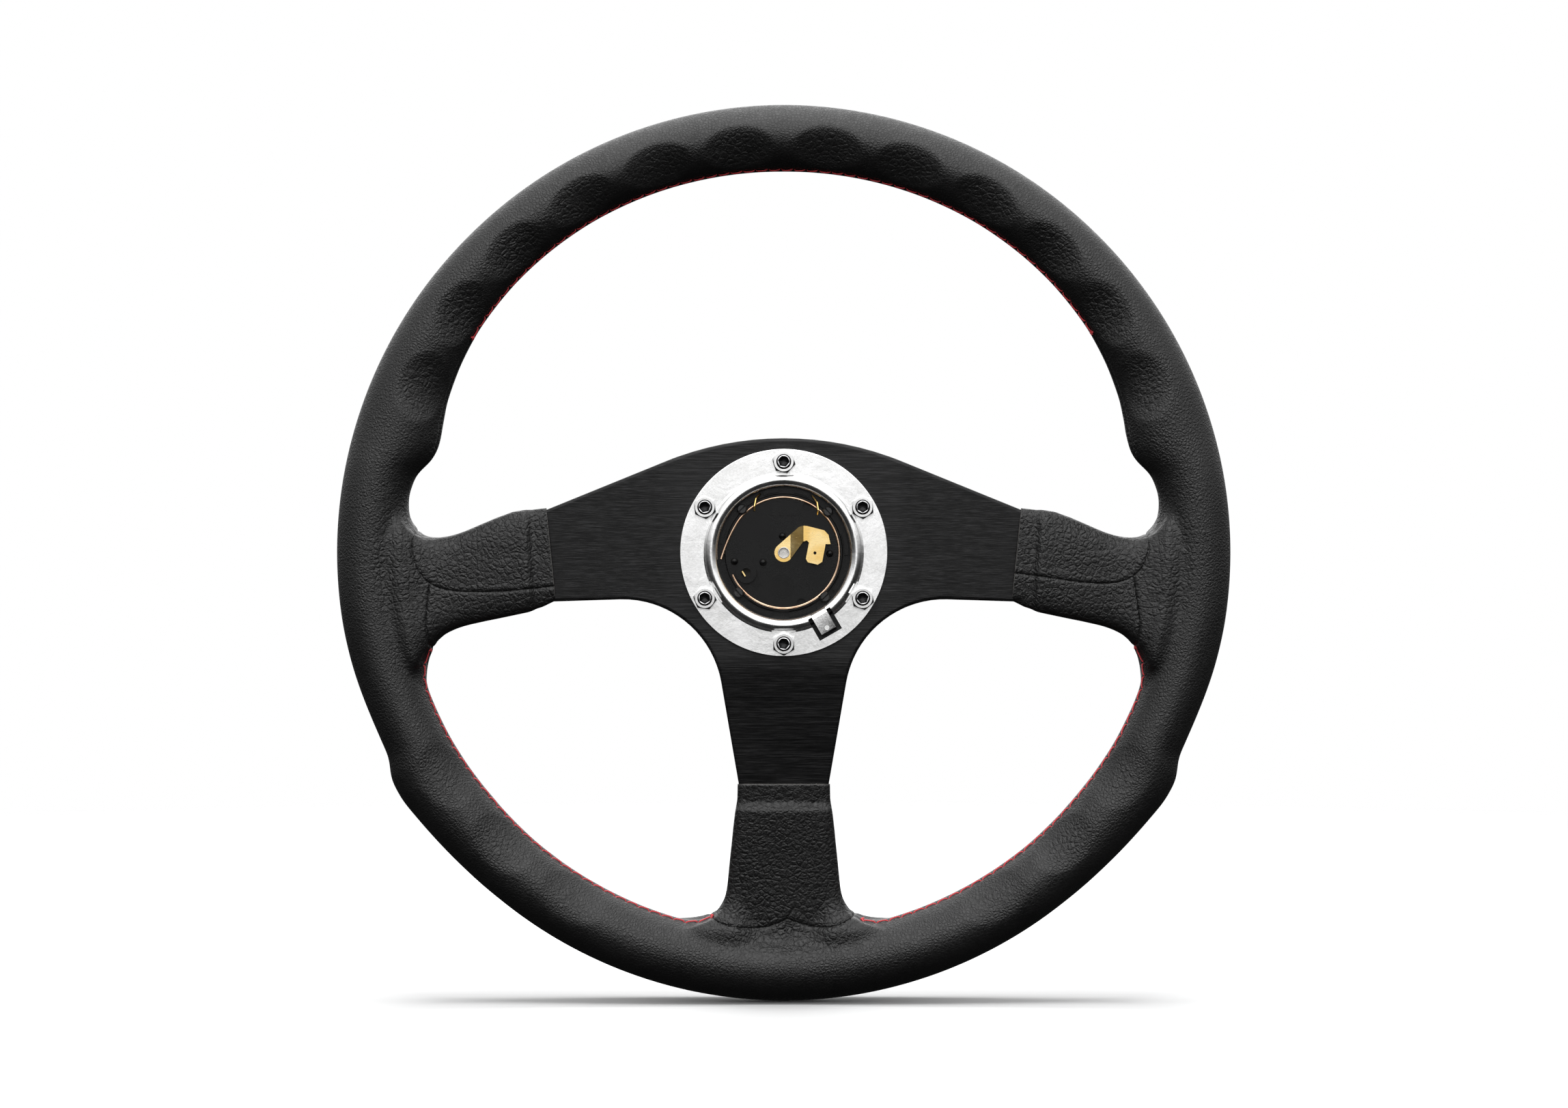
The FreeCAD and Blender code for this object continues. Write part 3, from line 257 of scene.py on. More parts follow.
def plate_material():
    t = Tree("black_brushed_plate")
    lines = t.noise(t.scaled(130.0, 900.0, 5600.0), 1.0, 3.0, 0.62)
    wide = t.noise(t.scaled(45.0, 300.0, 2600.0), 1.0, 3.0, 0.55)
    cloud = t.noise(scale=18.0, detail=2.0)
    both = t.math("ADD", t.math("MULTIPLY", lines, 0.62), t.math("MULTIPLY", wide, 0.38))
    base = t.ramp(both, [(0.36, (0.0028, 0.0028, 0.0030)), (0.50, (0.011, 0.011, 0.0113)), (0.62, (0.034, 0.034, 0.035))])
    rough = t.remap(t.math("ADD", both, t.math("MULTIPLY", cloud, 0.3)), 0.4, 0.9, 0.30, 0.50)
    t.shader(Base_Color=base, Metallic=0.35, Roughness=rough, Normal=t.bump(both, 0.6, 0.00010), Anisotropic=0.4, Specular_IOR_Level=0.34)
    return t.m


def zinc_material(name, level=0.92, mottle=1.0, low=0.2, high=0.36, tab=False):
    """Bright zinc plate: clouds, a fine sparkle and a few wiped streaks. The earth tab gets a painted reflection:
    darker towards its end and to one side, with a painted highlight at its dimple.
    """
    t = Tree(name)
    big = t.noise(scale=95.0, detail=5.0, rough=0.6, distortion=0.4)
    small = t.noise(scale=1150.0, detail=3.0, rough=0.65)
    wipe = t.noise(t.scaled(210.0, 210.0, 40.0, rotate=(0, 0.6, 0)), 1.0, 2.0)
    clouds = t.math("ADD", t.math("MULTIPLY", big, 0.6), t.math("MULTIPLY", small, 0.4))
    base = t.mix(t.remap(clouds, 0.38, 0.60, 0.0, 1.0), (level * 0.84, level * 0.84, level * 0.835), (level, level, level))
    rough = t.remap(t.math("ADD", t.math("MULTIPLY", big, 0.6), t.math("MULTIPLY", wipe, 0.4)), 0.35, 0.65, low, high)
    height = t.math("ADD", t.math("MULTIPLY", big, mottle), t.math("MULTIPLY", small, 0.10))
    if tab:
        # Painted reflection on the earth tab: the colour darkens towards the tab's end and to one side, and a painted
        # highlight lightens its dimple.
        x, y, z = t.split(t.co)
        out = t.math("ADD", t.math("MULTIPLY", x, 0.5), t.math("MULTIPLY", z, -0.8660))
        side = t.math("ADD", t.math("MULTIPLY", x, 0.8660), t.math("MULTIPLY", z, 0.5))
        on = t.math("MULTIPLY", t.math("LESS_THAN", t.math("ABSOLUTE", side), 0.0034), t.math("LESS_THAN", y, 0.0012))
        on = t.math("MULTIPLY", on, t.math("GREATER_THAN", out, 0.0262))
        painted_reflection = t.remap(out, 0.0285, 0.0350, 0.15, 0.80)
        painted_reflection = t.math("ADD", painted_reflection, t.remap(side, -0.003, 0.003, -0.10, 0.16))
        speck = t.remap(t.noise(scale=2600.0, detail=2.0), 0.35, 0.65, -0.14, 0.14)
        dimple_highlight = t.math("LESS_THAN", t.vec("DISTANCE", t.co, (0.0166, 0.0, -0.02875)), 0.0011)
        painted_reflection = t.math("SUBTRACT", t.math("ADD", painted_reflection, speck), t.math("MULTIPLY", dimple_highlight, 0.62))
        base = t.mix(t.math("MULTIPLY", on, painted_reflection, clamp=True), base, (0.055, 0.055, 0.054))
    t.shader(Base_Color=base, Metallic=1.0, Roughness=rough, Normal=t.bump(height, 0.17, 0.0004))
    return t.m


def screw_material():
    t = Tree("black_oxide")
    n = t.noise(scale=900.0, detail=3.0)
    t.shader(Base_Color=t.ramp(n, [(0.3, (0.004, 0.004, 0.0045)), (0.7, (0.020, 0.020, 0.022))]), Metallic=0.4,
             Roughness=t.remap(n, 0.3, 0.7, 0.26, 0.44), Specular_IOR_Level=0.4, Normal=t.bump(n, 0.3, 0.0001))
    return t.m


def plastic_material(name, base=0.020, gloss=0.42, texture=1.0, shine=0.5):
    t = Tree(name)
    spark = t.noise(scale=3200.0, detail=2.0, rough=0.6)
    cloud = t.noise(scale=70.0, detail=3.0)
    col = t.mix(t.remap(cloud, 0.3, 0.7, 0.0, 1.0), (base * 0.8, base * 0.8, base * 0.82), (base * 1.25, base * 1.25, base * 1.27))
    t.shader(Base_Color=col, Roughness=t.remap(t.math("ADD", cloud, t.math("MULTIPLY", spark, 0.5)), 0.5, 1.0, gloss - 0.08, gloss + 0.1),
             Normal=t.bump(spark, 0.35 * texture, 0.0001), Specular_IOR_Level=shine)
    return t.m


def metal_material(name, dark, light, low, high, streak=(1, 1, 1), bump=0.2):
    t = Tree(name)
    n = t.noise(t.scaled(*[700.0 * v for v in streak]), 1.0, 3.0, 0.6)
    cloud = t.noise(scale=160.0, detail=3.0)
    base = t.mix(t.remap(cloud, 0.35, 0.65, 0.0, 1.0), dark, light)
    t.shader(Base_Color=base, Metallic=1.0, Roughness=t.remap(t.math("ADD", n, cloud), 0.7, 1.3, low, high),
             Normal=t.bump(n, bump, 0.0001))
    return t.m


def foam_material():
    t = Tree("moulded_foam")
    n = t.cells(None, 900.0, "F1")
    t.shader(Base_Color=t.ramp(n, [(0.1, (0.02, 0.02, 0.02)), (0.7, (0.05, 0.05, 0.05))]), Roughness=0.9, Normal=t.bump(n, 0.5, 0.0003))
    return t.m


leather = leather_material("black_leather")
cut_edge = raw_edge_material()
thread_look = thread_material()
plate_look = plate_material()
zinc = zinc_material("bright_zinc", 0.97, 1.0, 0.16, 0.28, tab=True)
nut_zinc = zinc_material("nut_zinc", 0.86, 0.4, 0.10, 0.22)
black_screw = screw_material()
base_plastic = plastic_material("base_plastic", 0.0032, 0.25, 0.8, 0.22)
cap_plastic = plastic_material("cap_plastic", 0.012, 0.34)
gloss_badge = plastic_material("badge_gloss", 0.012, 0.16, 0.15)
brass = metal_material("yellow_brass", (0.90, 0.60, 0.20), (1.0, 0.76, 0.36), 0.20, 0.30, (0.5, 0.5, 2.5), 0.05)
bronze = metal_material("bronze_wire", (0.62, 0.40, 0.27), (0.88, 0.64, 0.46), 0.18, 0.3, (1, 1, 1), 0.08)
steel = metal_material("spring_steel", (0.42, 0.42, 0.43), (0.6, 0.6, 0.61), 0.22, 0.38)
chrome = metal_material("polished_chrome", (0.70, 0.70, 0.71), (0.80, 0.80, 0.81), 0.04, 0.10)
rivet_metal = metal_material("rivet_plating", (0.50, 0.49, 0.47), (0.74, 0.72, 0.69), 0.18, 0.30)
worn_edge = metal_material("worn_screw_edge", (0.45, 0.45, 0.46), (0.80, 0.80, 0.81), 0.16, 0.28)
alloy = metal_material("hoop_alloy", (0.55, 0.55, 0.56), (0.68, 0.68, 0.69), 0.3, 0.45)
foam = foam_material()

dress("spoke_plate", plate_look)
dress("rim_hoop", alloy)
dress("horn_retaining_ring", zinc)
dress("hub_screws", black_screw)
dress("hub_nuts", nut_zinc)
dress("horn_base", base_plastic)
dress("wire_ring", bronze)
dress("terminal_lug", brass)
dress("centre_rivet", rivet_metal)
dress("ground_contact", brass)
dress("return_springs", steel)
dress("horn_cap", cap_plastic)
dress("cap_contact", brass)
dress("badge_ring", chrome)
dress("horn_badge", gloss_badge)


# ------------------------------------------------------------------ the leather's shape
# Everything below is in millimetres until a mesh is made. Angles run from +X towards +Z.
def round_table(half):
    """Values at every quarter degree right round, from a list for -90..90 mirrored left to right, slightly smoothed."""
    deg = [a for a, _ in half]
    val = [v for _, v in half]
    d = np.arange(0, 360, 0.25)
    fold = np.where(d > 180, d - 360, d)
    fold = np.where(fold > 90, 180 - fold, np.where(fold < -90, -180 - fold, fold))
    out = np.interp(fold, deg, val)
    k = np.exp(-0.5 * (np.arange(-12, 13) * 0.25 / 0.8) ** 2)
    return np.convolve(np.concatenate([out[-12:], out, out[:12]]), k / k.sum(), "valid")


OUTER = round_table([(-90, 175.3), (-51, 175.3), (-45, 175.65), (-42, 176.0), (-39, 176.45), (-36, 177.05), (-33, 177.9), (-30, 177.4), (-27.5, 174.0),
                     (-24, 173.7), (-21, 173.8), (-18, 174.1), (-15, 174.4), (-12, 174.6), (-9, 174.75), (0, 174.8), (30, 174.8), (45, 174.8),
                     (60, 175.0), (90, 175.3)])
INNER = round_table([(-90, 149.0), (-60, 148.9), (-50, 149.0), (-40, 148.8), (-30, 149.2), (-24, 149.2), (-18, 149.0), (-10, 148.6), (0, 148.4),
                     (9, 148.4), (12, 147.0), (14.5, 142.6), (16.5, 141.2), (19, 141.7), (21, 142.7), (24, 144.2), (30, 146.2), (36, 147.7), (45, 148.8),
                     (51, 149.2), (60, 149.6), (70, 149.6), (90, 149.3)])


def at_angle(table, th):
    q = (np.degrees(th) % 360.0) * 4.0
    i = np.floor(q).astype(np.int64) % 1440
    f = (q - np.floor(q)).astype(np.float32)
    return table[i] * (1 - f) + table[(i + 1) % 1440] * f


RIM_Y, RIM_B = 29.0, 15.0
BEND = math.radians(10.9)
BEND_AT = 40.2 + 40.0 * math.tan(BEND / 2)
TOP_X = np.array([80, 92, 99, 105.3, 111.5, 117.6, 123.7, 148.0])
TOP_Z = np.array([18.6, 17.7, 16.9, 15.9, 13.7, 11.2, 8.6, -0.9])
LOW_X = np.array([80, 88.4, 93.5, 99.2, 105.3, 111.5, 117.6, 123.7, 150.0])
LOW_Z = np.array([-18.0, -18.9, -21.4, -23.2, -24.5, -25.8, -27.0, -28.3, -33.9])
FOOT_Z = np.array([80, 89.8, 95.7, 101.7, 107.8, 113.9, 120, 126.1, 132, 160])
FOOT_W = np.array([17.6, 17.9, 18.0, 19.0, 19.7, 20.3, 20.9, 21.5, 22.1, 25.0])
# (angle, half length, depth, centre of its section angle, half height in degrees)
FINGERS = [(90 + s * (6.3 + 11.8 * k), 13.6, (2.7, 2.7, 2.7, 2.7, 2.6, 2.3)[k], 113.0, 41.0) for k in range(6) for s in (1, -1)]
FINGERS += [(a if s > 0 else 180 - a, 13.5, d, 116.0, 44.0) for a, d in ((213.5, 1.1), (226.0, 1.5), (238.5, 1.2)) for s in (1, -1)]


def smooth_step(x):
    x = np.clip(x, 0, 1)
    return x * x * (3 - 2 * x)


def smooth_min(a, b, k):
    h = np.clip(k - np.abs(a - b), 0, None)
    return np.minimum(a, b) - h * h / (4 * k)


def super_oval(u, v, hu, hv, p):
    """Signed distance, near enough, to a rounded oblong of half sizes hu and hv."""
    au, av = np.abs(u) / hu, np.abs(v) / hv
    g = np.maximum(au ** p + av ** p, 1e-9)
    f = g ** (1.0 / p)
    slope = f ** (1 - p) * np.sqrt((au ** (p - 1) / hu) ** 2 + (av ** (p - 1) / hv) ** 2)
    return np.maximum((f - 1) / np.maximum(slope, 1e-4), -np.minimum(hu, hv))


def section(x, y, z):
    """Radius, angle along the rim, angle round its section (0 out, 90 rear, 180 in), rim distance."""
    r, th = np.hypot(x, z), np.arctan2(z, x)
    ro, ri = at_angle(OUTER, th), at_angle(INNER, th)
    a, rc = (ro - ri) / 2, (ro + ri) / 2
    u, v = (r - rc) / a, (y - RIM_Y) / RIM_B
    k1 = np.sqrt(u * u + v * v)
    k2 = np.sqrt((u / a) ** 2 + (v / RIM_B) ** 2)
    d = k1 * (k1 - 1) / np.maximum(k2, 1e-5)
    return r, th, np.degrees(np.arctan2(-v, u)), np.maximum(d, -13.0), k1


def scoops(th, phi):
    """How deep the finger rests go, in millimetres."""
    deg = np.degrees(th) % 360.0
    total = np.zeros_like(phi)
    for centre, half, depth, mid, tall in FINGERS:
        s = ((deg - centre + 180) % 360 - 180) * (math.pi / 180 * 158) / half
        q = 1 - s * s - ((phi - mid) / tall) ** 2
        total = np.maximum(total, depth * 0.5 * (q + np.sqrt(q * q + 0.006)))
    return total


def side_wrap(x, y, z):
    ax = np.abs(x)
    n = (y - 7.2 - (ax - BEND_AT) * math.tan(BEND)) * math.cos(BEND)
    zt, zb = np.interp(ax, TOP_X, TOP_Z), np.interp(ax, LOW_X, LOW_Z)
    # the foam starts square to the spoke's ends, a little in from the band
    step = ax - (97.6 + (z + 1) * 0.055)
    thick = 3.3 + 2.6 * smooth_step(step / 3.4 + 0.3)
    inset = 0.35 * (1 - smooth_step(step / 3.0 + 0.3))
    d = super_oval(z - (zt + zb) / 2, n, (zt - zb) / 2 - inset, thick, 3.4)
    return d


def foot_wrap(x, y, z):
    az = -z
    n = (y - 7.2 - (az - BEND_AT) * math.tan(BEND)) * math.cos(BEND)
    w = np.interp(az, FOOT_Z, FOOT_W)
    step = az - 97.8
    thick = 3.3 + 2.6 * smooth_step(step / 3.4 + 0.3)
    return super_oval(x, n, w, thick, 3.8)


def grip(x, y, z, detail=True):
    """Signed distance to the whole padded grip: the rim and its three spoke wraps."""
    r, th, phi, rim, k1 = section(x, y, z)
    if detail:
        rim = rim + scoops(th, phi) * smooth_step((k1 - 0.35) / 0.4)
    keep = smooth_step((157.0 - r) / 9.0)
    side = side_wrap(x, y, z)
    side = np.maximum(side, r - 149.0)
    side = np.maximum(side, np.abs(z) - 60.0)
    d = smooth_min(rim, side, 9.0 + 16.0 * keep)
    foot = foot_wrap(x, y, z)
    foot = np.maximum(foot, r - 149.0)
    foot = np.maximum(foot, 80.0 + z)
    return smooth_min(d, foot, (8.0 + 11.0 * keep) * (0.36 + 0.64 * smooth_step((np.abs(x) - 9.0) / 11.0)))


def gradient(p, f, e=0.25):
    g = np.empty_like(p)
    for k in range(3):
        a, b = p.copy(), p.copy()
        a[:, k] += e
        b[:, k] -= e
        g[:, k] = (f(*a.T) - f(*b.T)) / (2 * e)
    return g


def onto(p, f, rounds=3):
    for _ in range(rounds):
        g = gradient(p, f)
        n2 = np.maximum((g * g).sum(1), 0.05)
        p = p - g * np.clip(f(*p.T) / n2, -1.5, 1.5)[:, None]
    return p


def surface_net(f, lo, hi, h):
    """Quads over the zero surface of f, one point in each cell that it crosses."""
    axes = [np.arange(a, b + h, h, dtype=np.float32) for a, b in zip(lo, hi)]
    nx, ny, nz = map(len, axes)
    value = np.empty((nx, ny, nz), np.float32)
    yy, zz = np.meshgrid(axes[1], axes[2], indexing="ij")
    for i0 in range(0, nx, 24):
        xs = axes[0][i0:i0 + 24]
        x = np.broadcast_to(xs[:, None, None], (len(xs), ny, nz))
        y = np.broadcast_to(yy[None], x.shape)
        z = np.broadcast_to(zz[None], x.shape)
        rr = np.hypot(x, z)
        near = (rr > 136.0) & (rr < 182.0) | (np.abs(z) < 52.0) & (np.abs(x) > 80.0) | (z < -78.0) & (np.abs(x) < 48.0)
        v = np.full(x.shape, 5.0, np.float32)
        v[near] = f(x[near].astype(np.float64), y[near].astype(np.float64), z[near].astype(np.float64))
        value[i0:i0 + 24] = v
    inside = value < 0
    count = np.zeros((nx - 1, ny - 1, nz - 1), np.int16)
    total = np.zeros(count.shape + (3,), np.float32)
    for axis in range(3):
        lo_s = [slice(None)] * 3
        hi_s = [slice(None)] * 3
        lo_s[axis], hi_s[axis] = slice(0, -1), slice(1, None)
        a, b = value[tuple(lo_s)], value[tuple(hi_s)]
        cross = (a < 0) != (b < 0)
        t = np.where(cross, a / np.where(cross, a - b, 1), 0)
        others = [k for k in range(3) if k != axis]
        for s in (0, 1):
            for q in (0, 1):
                sl = [slice(None)] * 3
                for o, off in zip(others, (s, q)):
                    n = value.shape[o] - 1
                    sl[o] = slice(off, off + n)
                c, tt = cross[tuple(sl)], t[tuple(sl)]
                count += c
                place = [0.0, 0.0, 0.0]
                for k in range(3):
                    if k == axis:
                        total[..., k] += np.where(c, tt, 0)
                    else:
                        total[..., k] += np.where(c, (s if k == others[0] else q), 0)
    used = count > 0
    index = np.full(used.shape, -1, np.int64)
    index[used] = np.arange(used.sum())
    cell = np.argwhere(used)
    verts = (cell + total[used] / count[used][:, None]) * h + np.array([a[0] for a in axes])
    quads = []
    for axis in range(3):
        lo_s, hi_s = [slice(None)] * 3, [slice(None)] * 3
        lo_s[axis], hi_s[axis] = slice(0, -1), slice(1, None)
        a, b = inside[tuple(lo_s)], inside[tuple(hi_s)]
        for flip in (False, True):
            at = np.argwhere((a & ~b) if not flip else (~a & b))
            u, v = [k for k in range(3) if k != axis]
            ok = (at[:, u] > 0) & (at[:, v] > 0) & (at[:, u] < value.shape[u] - 1) & (at[:, v] < value.shape[v] - 1)
            at = at[ok]
            ring = []
            for du, dv in ((0, 0), (-1, 0), (-1, -1), (0, -1)):
                c = at.copy()
                c[:, u] += du
                c[:, v] += dv
                ring.append(index[tuple(c.T)])
            q = np.stack(ring, 1)
            out = (axis == 1) == flip       # turns every face outwards
            quads.append(q if out else q[:, ::-1])
    quads = np.concatenate(quads)
    return verts.astype(np.float64), quads[(quads >= 0).all(1)]


def split_edges(verts, tris, pick):
    """Divides the triangles at the picked edges. pick(verts, edges) gives (mask, place along each edge)."""
    e = np.concatenate([tris[:, [0, 1]], tris[:, [1, 2]], tris[:, [2, 0]]])
    e.sort(axis=1)
    edges, back = np.unique(e, axis=0, return_inverse=True)
    back = back.reshape(3, -1).T
    mask, place = pick(verts, edges)
    new = np.full(len(edges), -1, np.int64)
    new[mask] = len(verts) + np.arange(mask.sum())
    a, b = verts[edges[mask, 0]], verts[edges[mask, 1]]
    verts = np.concatenate([verts, a + (b - a) * place[mask, None]])
    m = new[back]                                   # the new vertex on each side, or -1
    n = (m >= 0).sum(1)
    out = [tris[n == 0]]
    for k in range(3):                              # one side divided
        s = (n == 1) & (m[:, k] >= 0)
        i, j, o, w = tris[s, k], tris[s, (k + 1) % 3], tris[s, (k + 2) % 3], m[s, k]
        out += [np.stack([i, w, o], 1), np.stack([w, j, o], 1)]
    for k in range(3):                              # two sides divided: k and k+1 meet at corner k+1
        s = (n == 2) & (m[:, k] >= 0) & (m[:, (k + 1) % 3] >= 0)
        i, j, o = tris[s, k], tris[s, (k + 1) % 3], tris[s, (k + 2) % 3]
        w, q = m[s, k], m[s, (k + 1) % 3]
        out += [np.stack([w, j, q], 1), np.stack([i, w, q], 1), np.stack([i, q, o], 1)]
    s = n == 3
    i, j, o = tris[s].T
    p, q, w = m[s].T
    out += [np.stack([i, p, w], 1), np.stack([p, j, q], 1), np.stack([w, q, o], 1), np.stack([p, q, w], 1)]
    return verts, np.concatenate(out)


def polygon_distance(px, pz, poly):
    """Signed distance to a closed polygon in the XZ plane, negative inside."""
    best = np.full(px.shape, 1e9)
    inside = np.zeros(px.shape, bool)
    for (x0, z0), (x1, z1) in zip(poly, poly[1:] + poly[:1]):
        dx, dz = x1 - x0, z1 - z0
        t = np.clip(((px - x0) * dx + (pz - z0) * dz) / (dx * dx + dz * dz), 0, 1)
        best = np.minimum(best, np.hypot(px - x0 - t * dx, pz - z0 - t * dz))
        inside ^= ((z0 > pz) != (z1 > pz)) & (px < dx * (pz - z0) / (dz if dz else 1e-9) + x0)
    return np.where(inside, -best, best)


def line_distance(px, pz, line):
    best = np.full(px.shape, 1e9)
    for (x0, z0), (x1, z1) in zip(line, line[1:]):
        dx, dz = x1 - x0, z1 - z0
        t = np.clip(((px - x0) * dx + (pz - z0) * dz) / (dx * dx + dz * dz), 0, 1)
        best = np.minimum(best, np.hypot(px - x0 - t * dx, pz - z0 - t * dz))
    return best


def smooth_line(points, rounds=2):
    """Rounds a line's corners, keeping its ends."""
    for _ in range(rounds):
        out = [points[0]]
        for (x0, z0), (x1, z1) in zip(points, points[1:]):
            out += [(0.75 * x0 + 0.25 * x1, 0.75 * z0 + 0.25 * z1), (0.25 * x0 + 0.75 * x1, 0.25 * z0 + 0.75 * z1)]
        points = out + [points[-1]]
    return points


# Seams, in the XZ plane. They run through to the front face as well.
LEFT_A = smooth_line([(-139.0, 17), (-144.2, 8), (-144.2, -1), (-142, -7.5), (-136.6, -13), (-128.6, -15), (-116, -15.4), (-103, -14.6), (-86, -12.6)])
RIGHT_A = smooth_line([(137.0, 18), (142.2, 9), (141.4, -0.5), (138.4, -7.4), (133, -10.8), (126.4, -12.1), (116, -11.6), (103, -9.6), (86, -7.4)])
LEFT_B = [(-137.6, -12.4), (-138.3, -18.5), (-138.9, -27.4), (-138.0, -35.5), (-134.0, -44.0)]
RIGHT_B = [(136.0, -9.6), (137.2, -18.5), (138.3, -27.4), (137.4, -35.5), (133.5, -44.0)]
FOOT_A = smooth_line([(-34, -134), (-29.8, -140.6), (-26.6, -143.2), (-18.5, -145.9), (-8.6, -146.2), (-2.6, -144.6), (1.35, -142.5)], 1) \
    + smooth_line([(1.35, -142.5), (4.4, -143.8), (10.5, -145.6), (18.7, -145.6), (23.4, -143.9), (29.0, -140.6), (34, -134)], 1)[1:]
FOOT_B = [(10.9, -88), (10.2, -98.8), (8.6, -108), (7.1, -118.6), (5.9, -129), (5.1, -136.8), (1.35, -142.5)]
RIM_BUTT = [(1.35, -142.5), (3.2, -147.5), (3.4, -158), (2.8, -168), (2.4, -178)]
REGIONS = {
    "leather_left_spoke_upper": LEFT_A + [(-60, -10), (-60, 60), (-120, 40)],
    "leather_left_spoke_lower": LEFT_B + [(-125, -50), (-60, -50), (-60, -6)] + [p for p in reversed(LEFT_A) if p[0] > -137.6 and p[1] < 0],
    "leather_right_spoke_upper": RIGHT_A + [(60, -5), (60, 60), (120, 40)],
    "leather_right_spoke_lower": RIGHT_B + [(125, -50), (60, -50), (60, -2)] + [p for p in reversed(RIGHT_A) if p[0] < 136.0 and p[1] < 0],
    "leather_bottom_sleeve": FOOT_A + [(60, -110), (60, -60), (-60, -60), (-60, -110)],
}
ENDS = (92.2, 17.7, 88.5, -18.9)        # a side sleeve's hub end, as (distance, height) at the top and at the bottom
FOOT_END = 89.8


def hub_side(p):
    """Negative past the sleeves' hub ends."""
    ax = np.abs(p[:, 0])
    x0, z0, x1, z1 = ENDS
    side = (ax - (x1 + (x0 - x1) * (p[:, 2] - z1) / (z0 - z1)))
    foot = -p[:, 2] - FOOT_END
    return np.where(np.abs(p[:, 2]) < 60, side, np.where((p[:, 2] < 0) & (ax < 45), foot, 50.0))


def at_zero(field):
    """A picker for split_edges: edges that cross the field's zero line."""
    def pick(verts, edges):
        s = field(verts)
        a, b = s[edges[:, 0]], s[edges[:, 1]]
        mask = ((a < 0) != (b < 0)) & (np.abs(a) > 1e-6) & (np.abs(b) > 1e-6)
        t = np.where(mask, a / np.where(mask, a - b, 1), 0.5)
        return mask & (t > 0.04) & (t < 0.96), t
    return pick


def snap(verts, field, reach):
    """Moves the vertices that all but lie on the field's zero line onto it."""
    s = field(verts)
    e = 0.05
    near = np.abs(s) < reach
    p = verts[near]
    g = np.zeros_like(p)
    for k in (0, 2):
        q = p.copy()
        q[:, k] += e
        g[:, k] = (field(q) - s[near]) / e
    n2 = np.maximum((g * g).sum(1), 0.2)
    verts[near] = p - g * (s[near] / n2)[:, None]
    return verts


H = 1.15
verts, quads = surface_net(grip, (-181, 9.5, -181), (181, 47.5, 181), H)
used = np.unique(quads)
renumber = np.full(len(verts), -1, np.int64)
renumber[used] = np.arange(len(used))
verts, quads = verts[used], renumber[quads]


def relax(verts, faces, rounds):
    """Evens out the spacing, keeping the points on the surface."""
    n = faces.shape[1]
    e = np.concatenate([faces[:, [k, (k + 1) % n]] for k in range(n)])
    e = np.unique(np.sort(e, axis=1), axis=0)
    for _ in range(rounds):
        total = np.zeros_like(verts)
        count = np.zeros(len(verts))
        for a, b in ((0, 1), (1, 0)):
            for k in range(3):
                total[:, k] += np.bincount(e[:, a], verts[e[:, b], k], len(verts))
            count += np.bincount(e[:, a], minlength=len(verts))
        verts = onto(verts * 0.45 + 0.55 * total / count[:, None], grip, 1)
    return verts


verts = onto(verts, grip, 2)
verts = relax(verts, quads, 3)
tris = np.concatenate([quads[:, [0, 1, 2]], quads[:, [0, 2, 3]]])


def region_field(name):
    poly = REGIONS[name]
    return lambda p: polygon_distance(p[:, 0], p[:, 2], poly)


def seam_distance(p):
    """Distance to the sewn seams and to the butt joints, in millimetres."""
    x, y, z = p.T
    sewn = np.full(len(p), 1e3)
    for line in (LEFT_A[2:], RIGHT_A[2:], LEFT_B, RIGHT_B, FOOT_A):
        sewn = np.minimum(sewn, line_distance(x, z, line))
    r = np.hypot(x, z)
    phi = section(x, y, z)[2]
    rear = y < RIM_Y - 2
    butt = np.where((y < 26) | (z < -150), np.minimum(line_distance(x, z, FOOT_B), line_distance(x, z, RIM_BUTT)), 1e3)
    deg = np.degrees(np.arctan2(z, x)) % 360
    open_rim = np.minimum(np.abs((deg - 90 + 180) % 360 - 180) - 78, 0) < 0
    low = (deg > 190) & (deg < 261) | (deg > 279) & (deg < 350)
    ring = np.where(((deg > 12) & (deg < 168) | low) & (r < 156), np.abs(y - 25.4), 1e3)
    return sewn, butt, ring


def near_seams(reach):
    def pick(verts, edges):
        sewn, butt, ring = seam_distance(verts)
        close = np.minimum(np.minimum(sewn, butt), ring) < reach
        long_enough = np.linalg.norm(verts[edges[:, 0]] - verts[edges[:, 1]], axis=1) > 0.55
        mask = close[edges[:, 0]] & close[edges[:, 1]] & long_enough
        return mask, np.full(len(edges), 0.5)
    return pick


verts, tris = split_edges(verts, tris, near_seams(2.6))
verts = onto(verts, grip, 1)
for name in REGIONS:
    verts = snap(verts, region_field(name), 0.12)
    verts, tris = split_edges(verts, tris, at_zero(region_field(name)))
    verts = snap(verts, region_field(name), 0.12)
verts = snap(verts, hub_side, 0.2)
verts, tris = split_edges(verts, tris, at_zero(hub_side))
mid = verts[tris].mean(1)
tris = tris[(hub_side(mid) > 0)]
area = np.linalg.norm(np.cross(verts[tris[:, 1]] - verts[tris[:, 0]], verts[tris[:, 2]] - verts[tris[:, 0]]), axis=1)
tris = tris[area > 1e-7]

normals = gradient(verts, grip)
normals /= np.maximum(np.linalg.norm(normals, axis=1), 1e-9)[:, None]
sewn, butt, ring = seam_distance(verts)
dip = 0.34 * np.exp(-(sewn / 0.5) ** 2) - 0.10 * np.exp(-((sewn - 1.6) / 1.0) ** 2)
dip += 0.20 * np.exp(-(butt / 0.45) ** 2)
dip += 0.50 * np.exp(-(ring / 0.8) ** 2) - 0.10 * np.exp(-((ring - 2.3) / 1.0) ** 2)

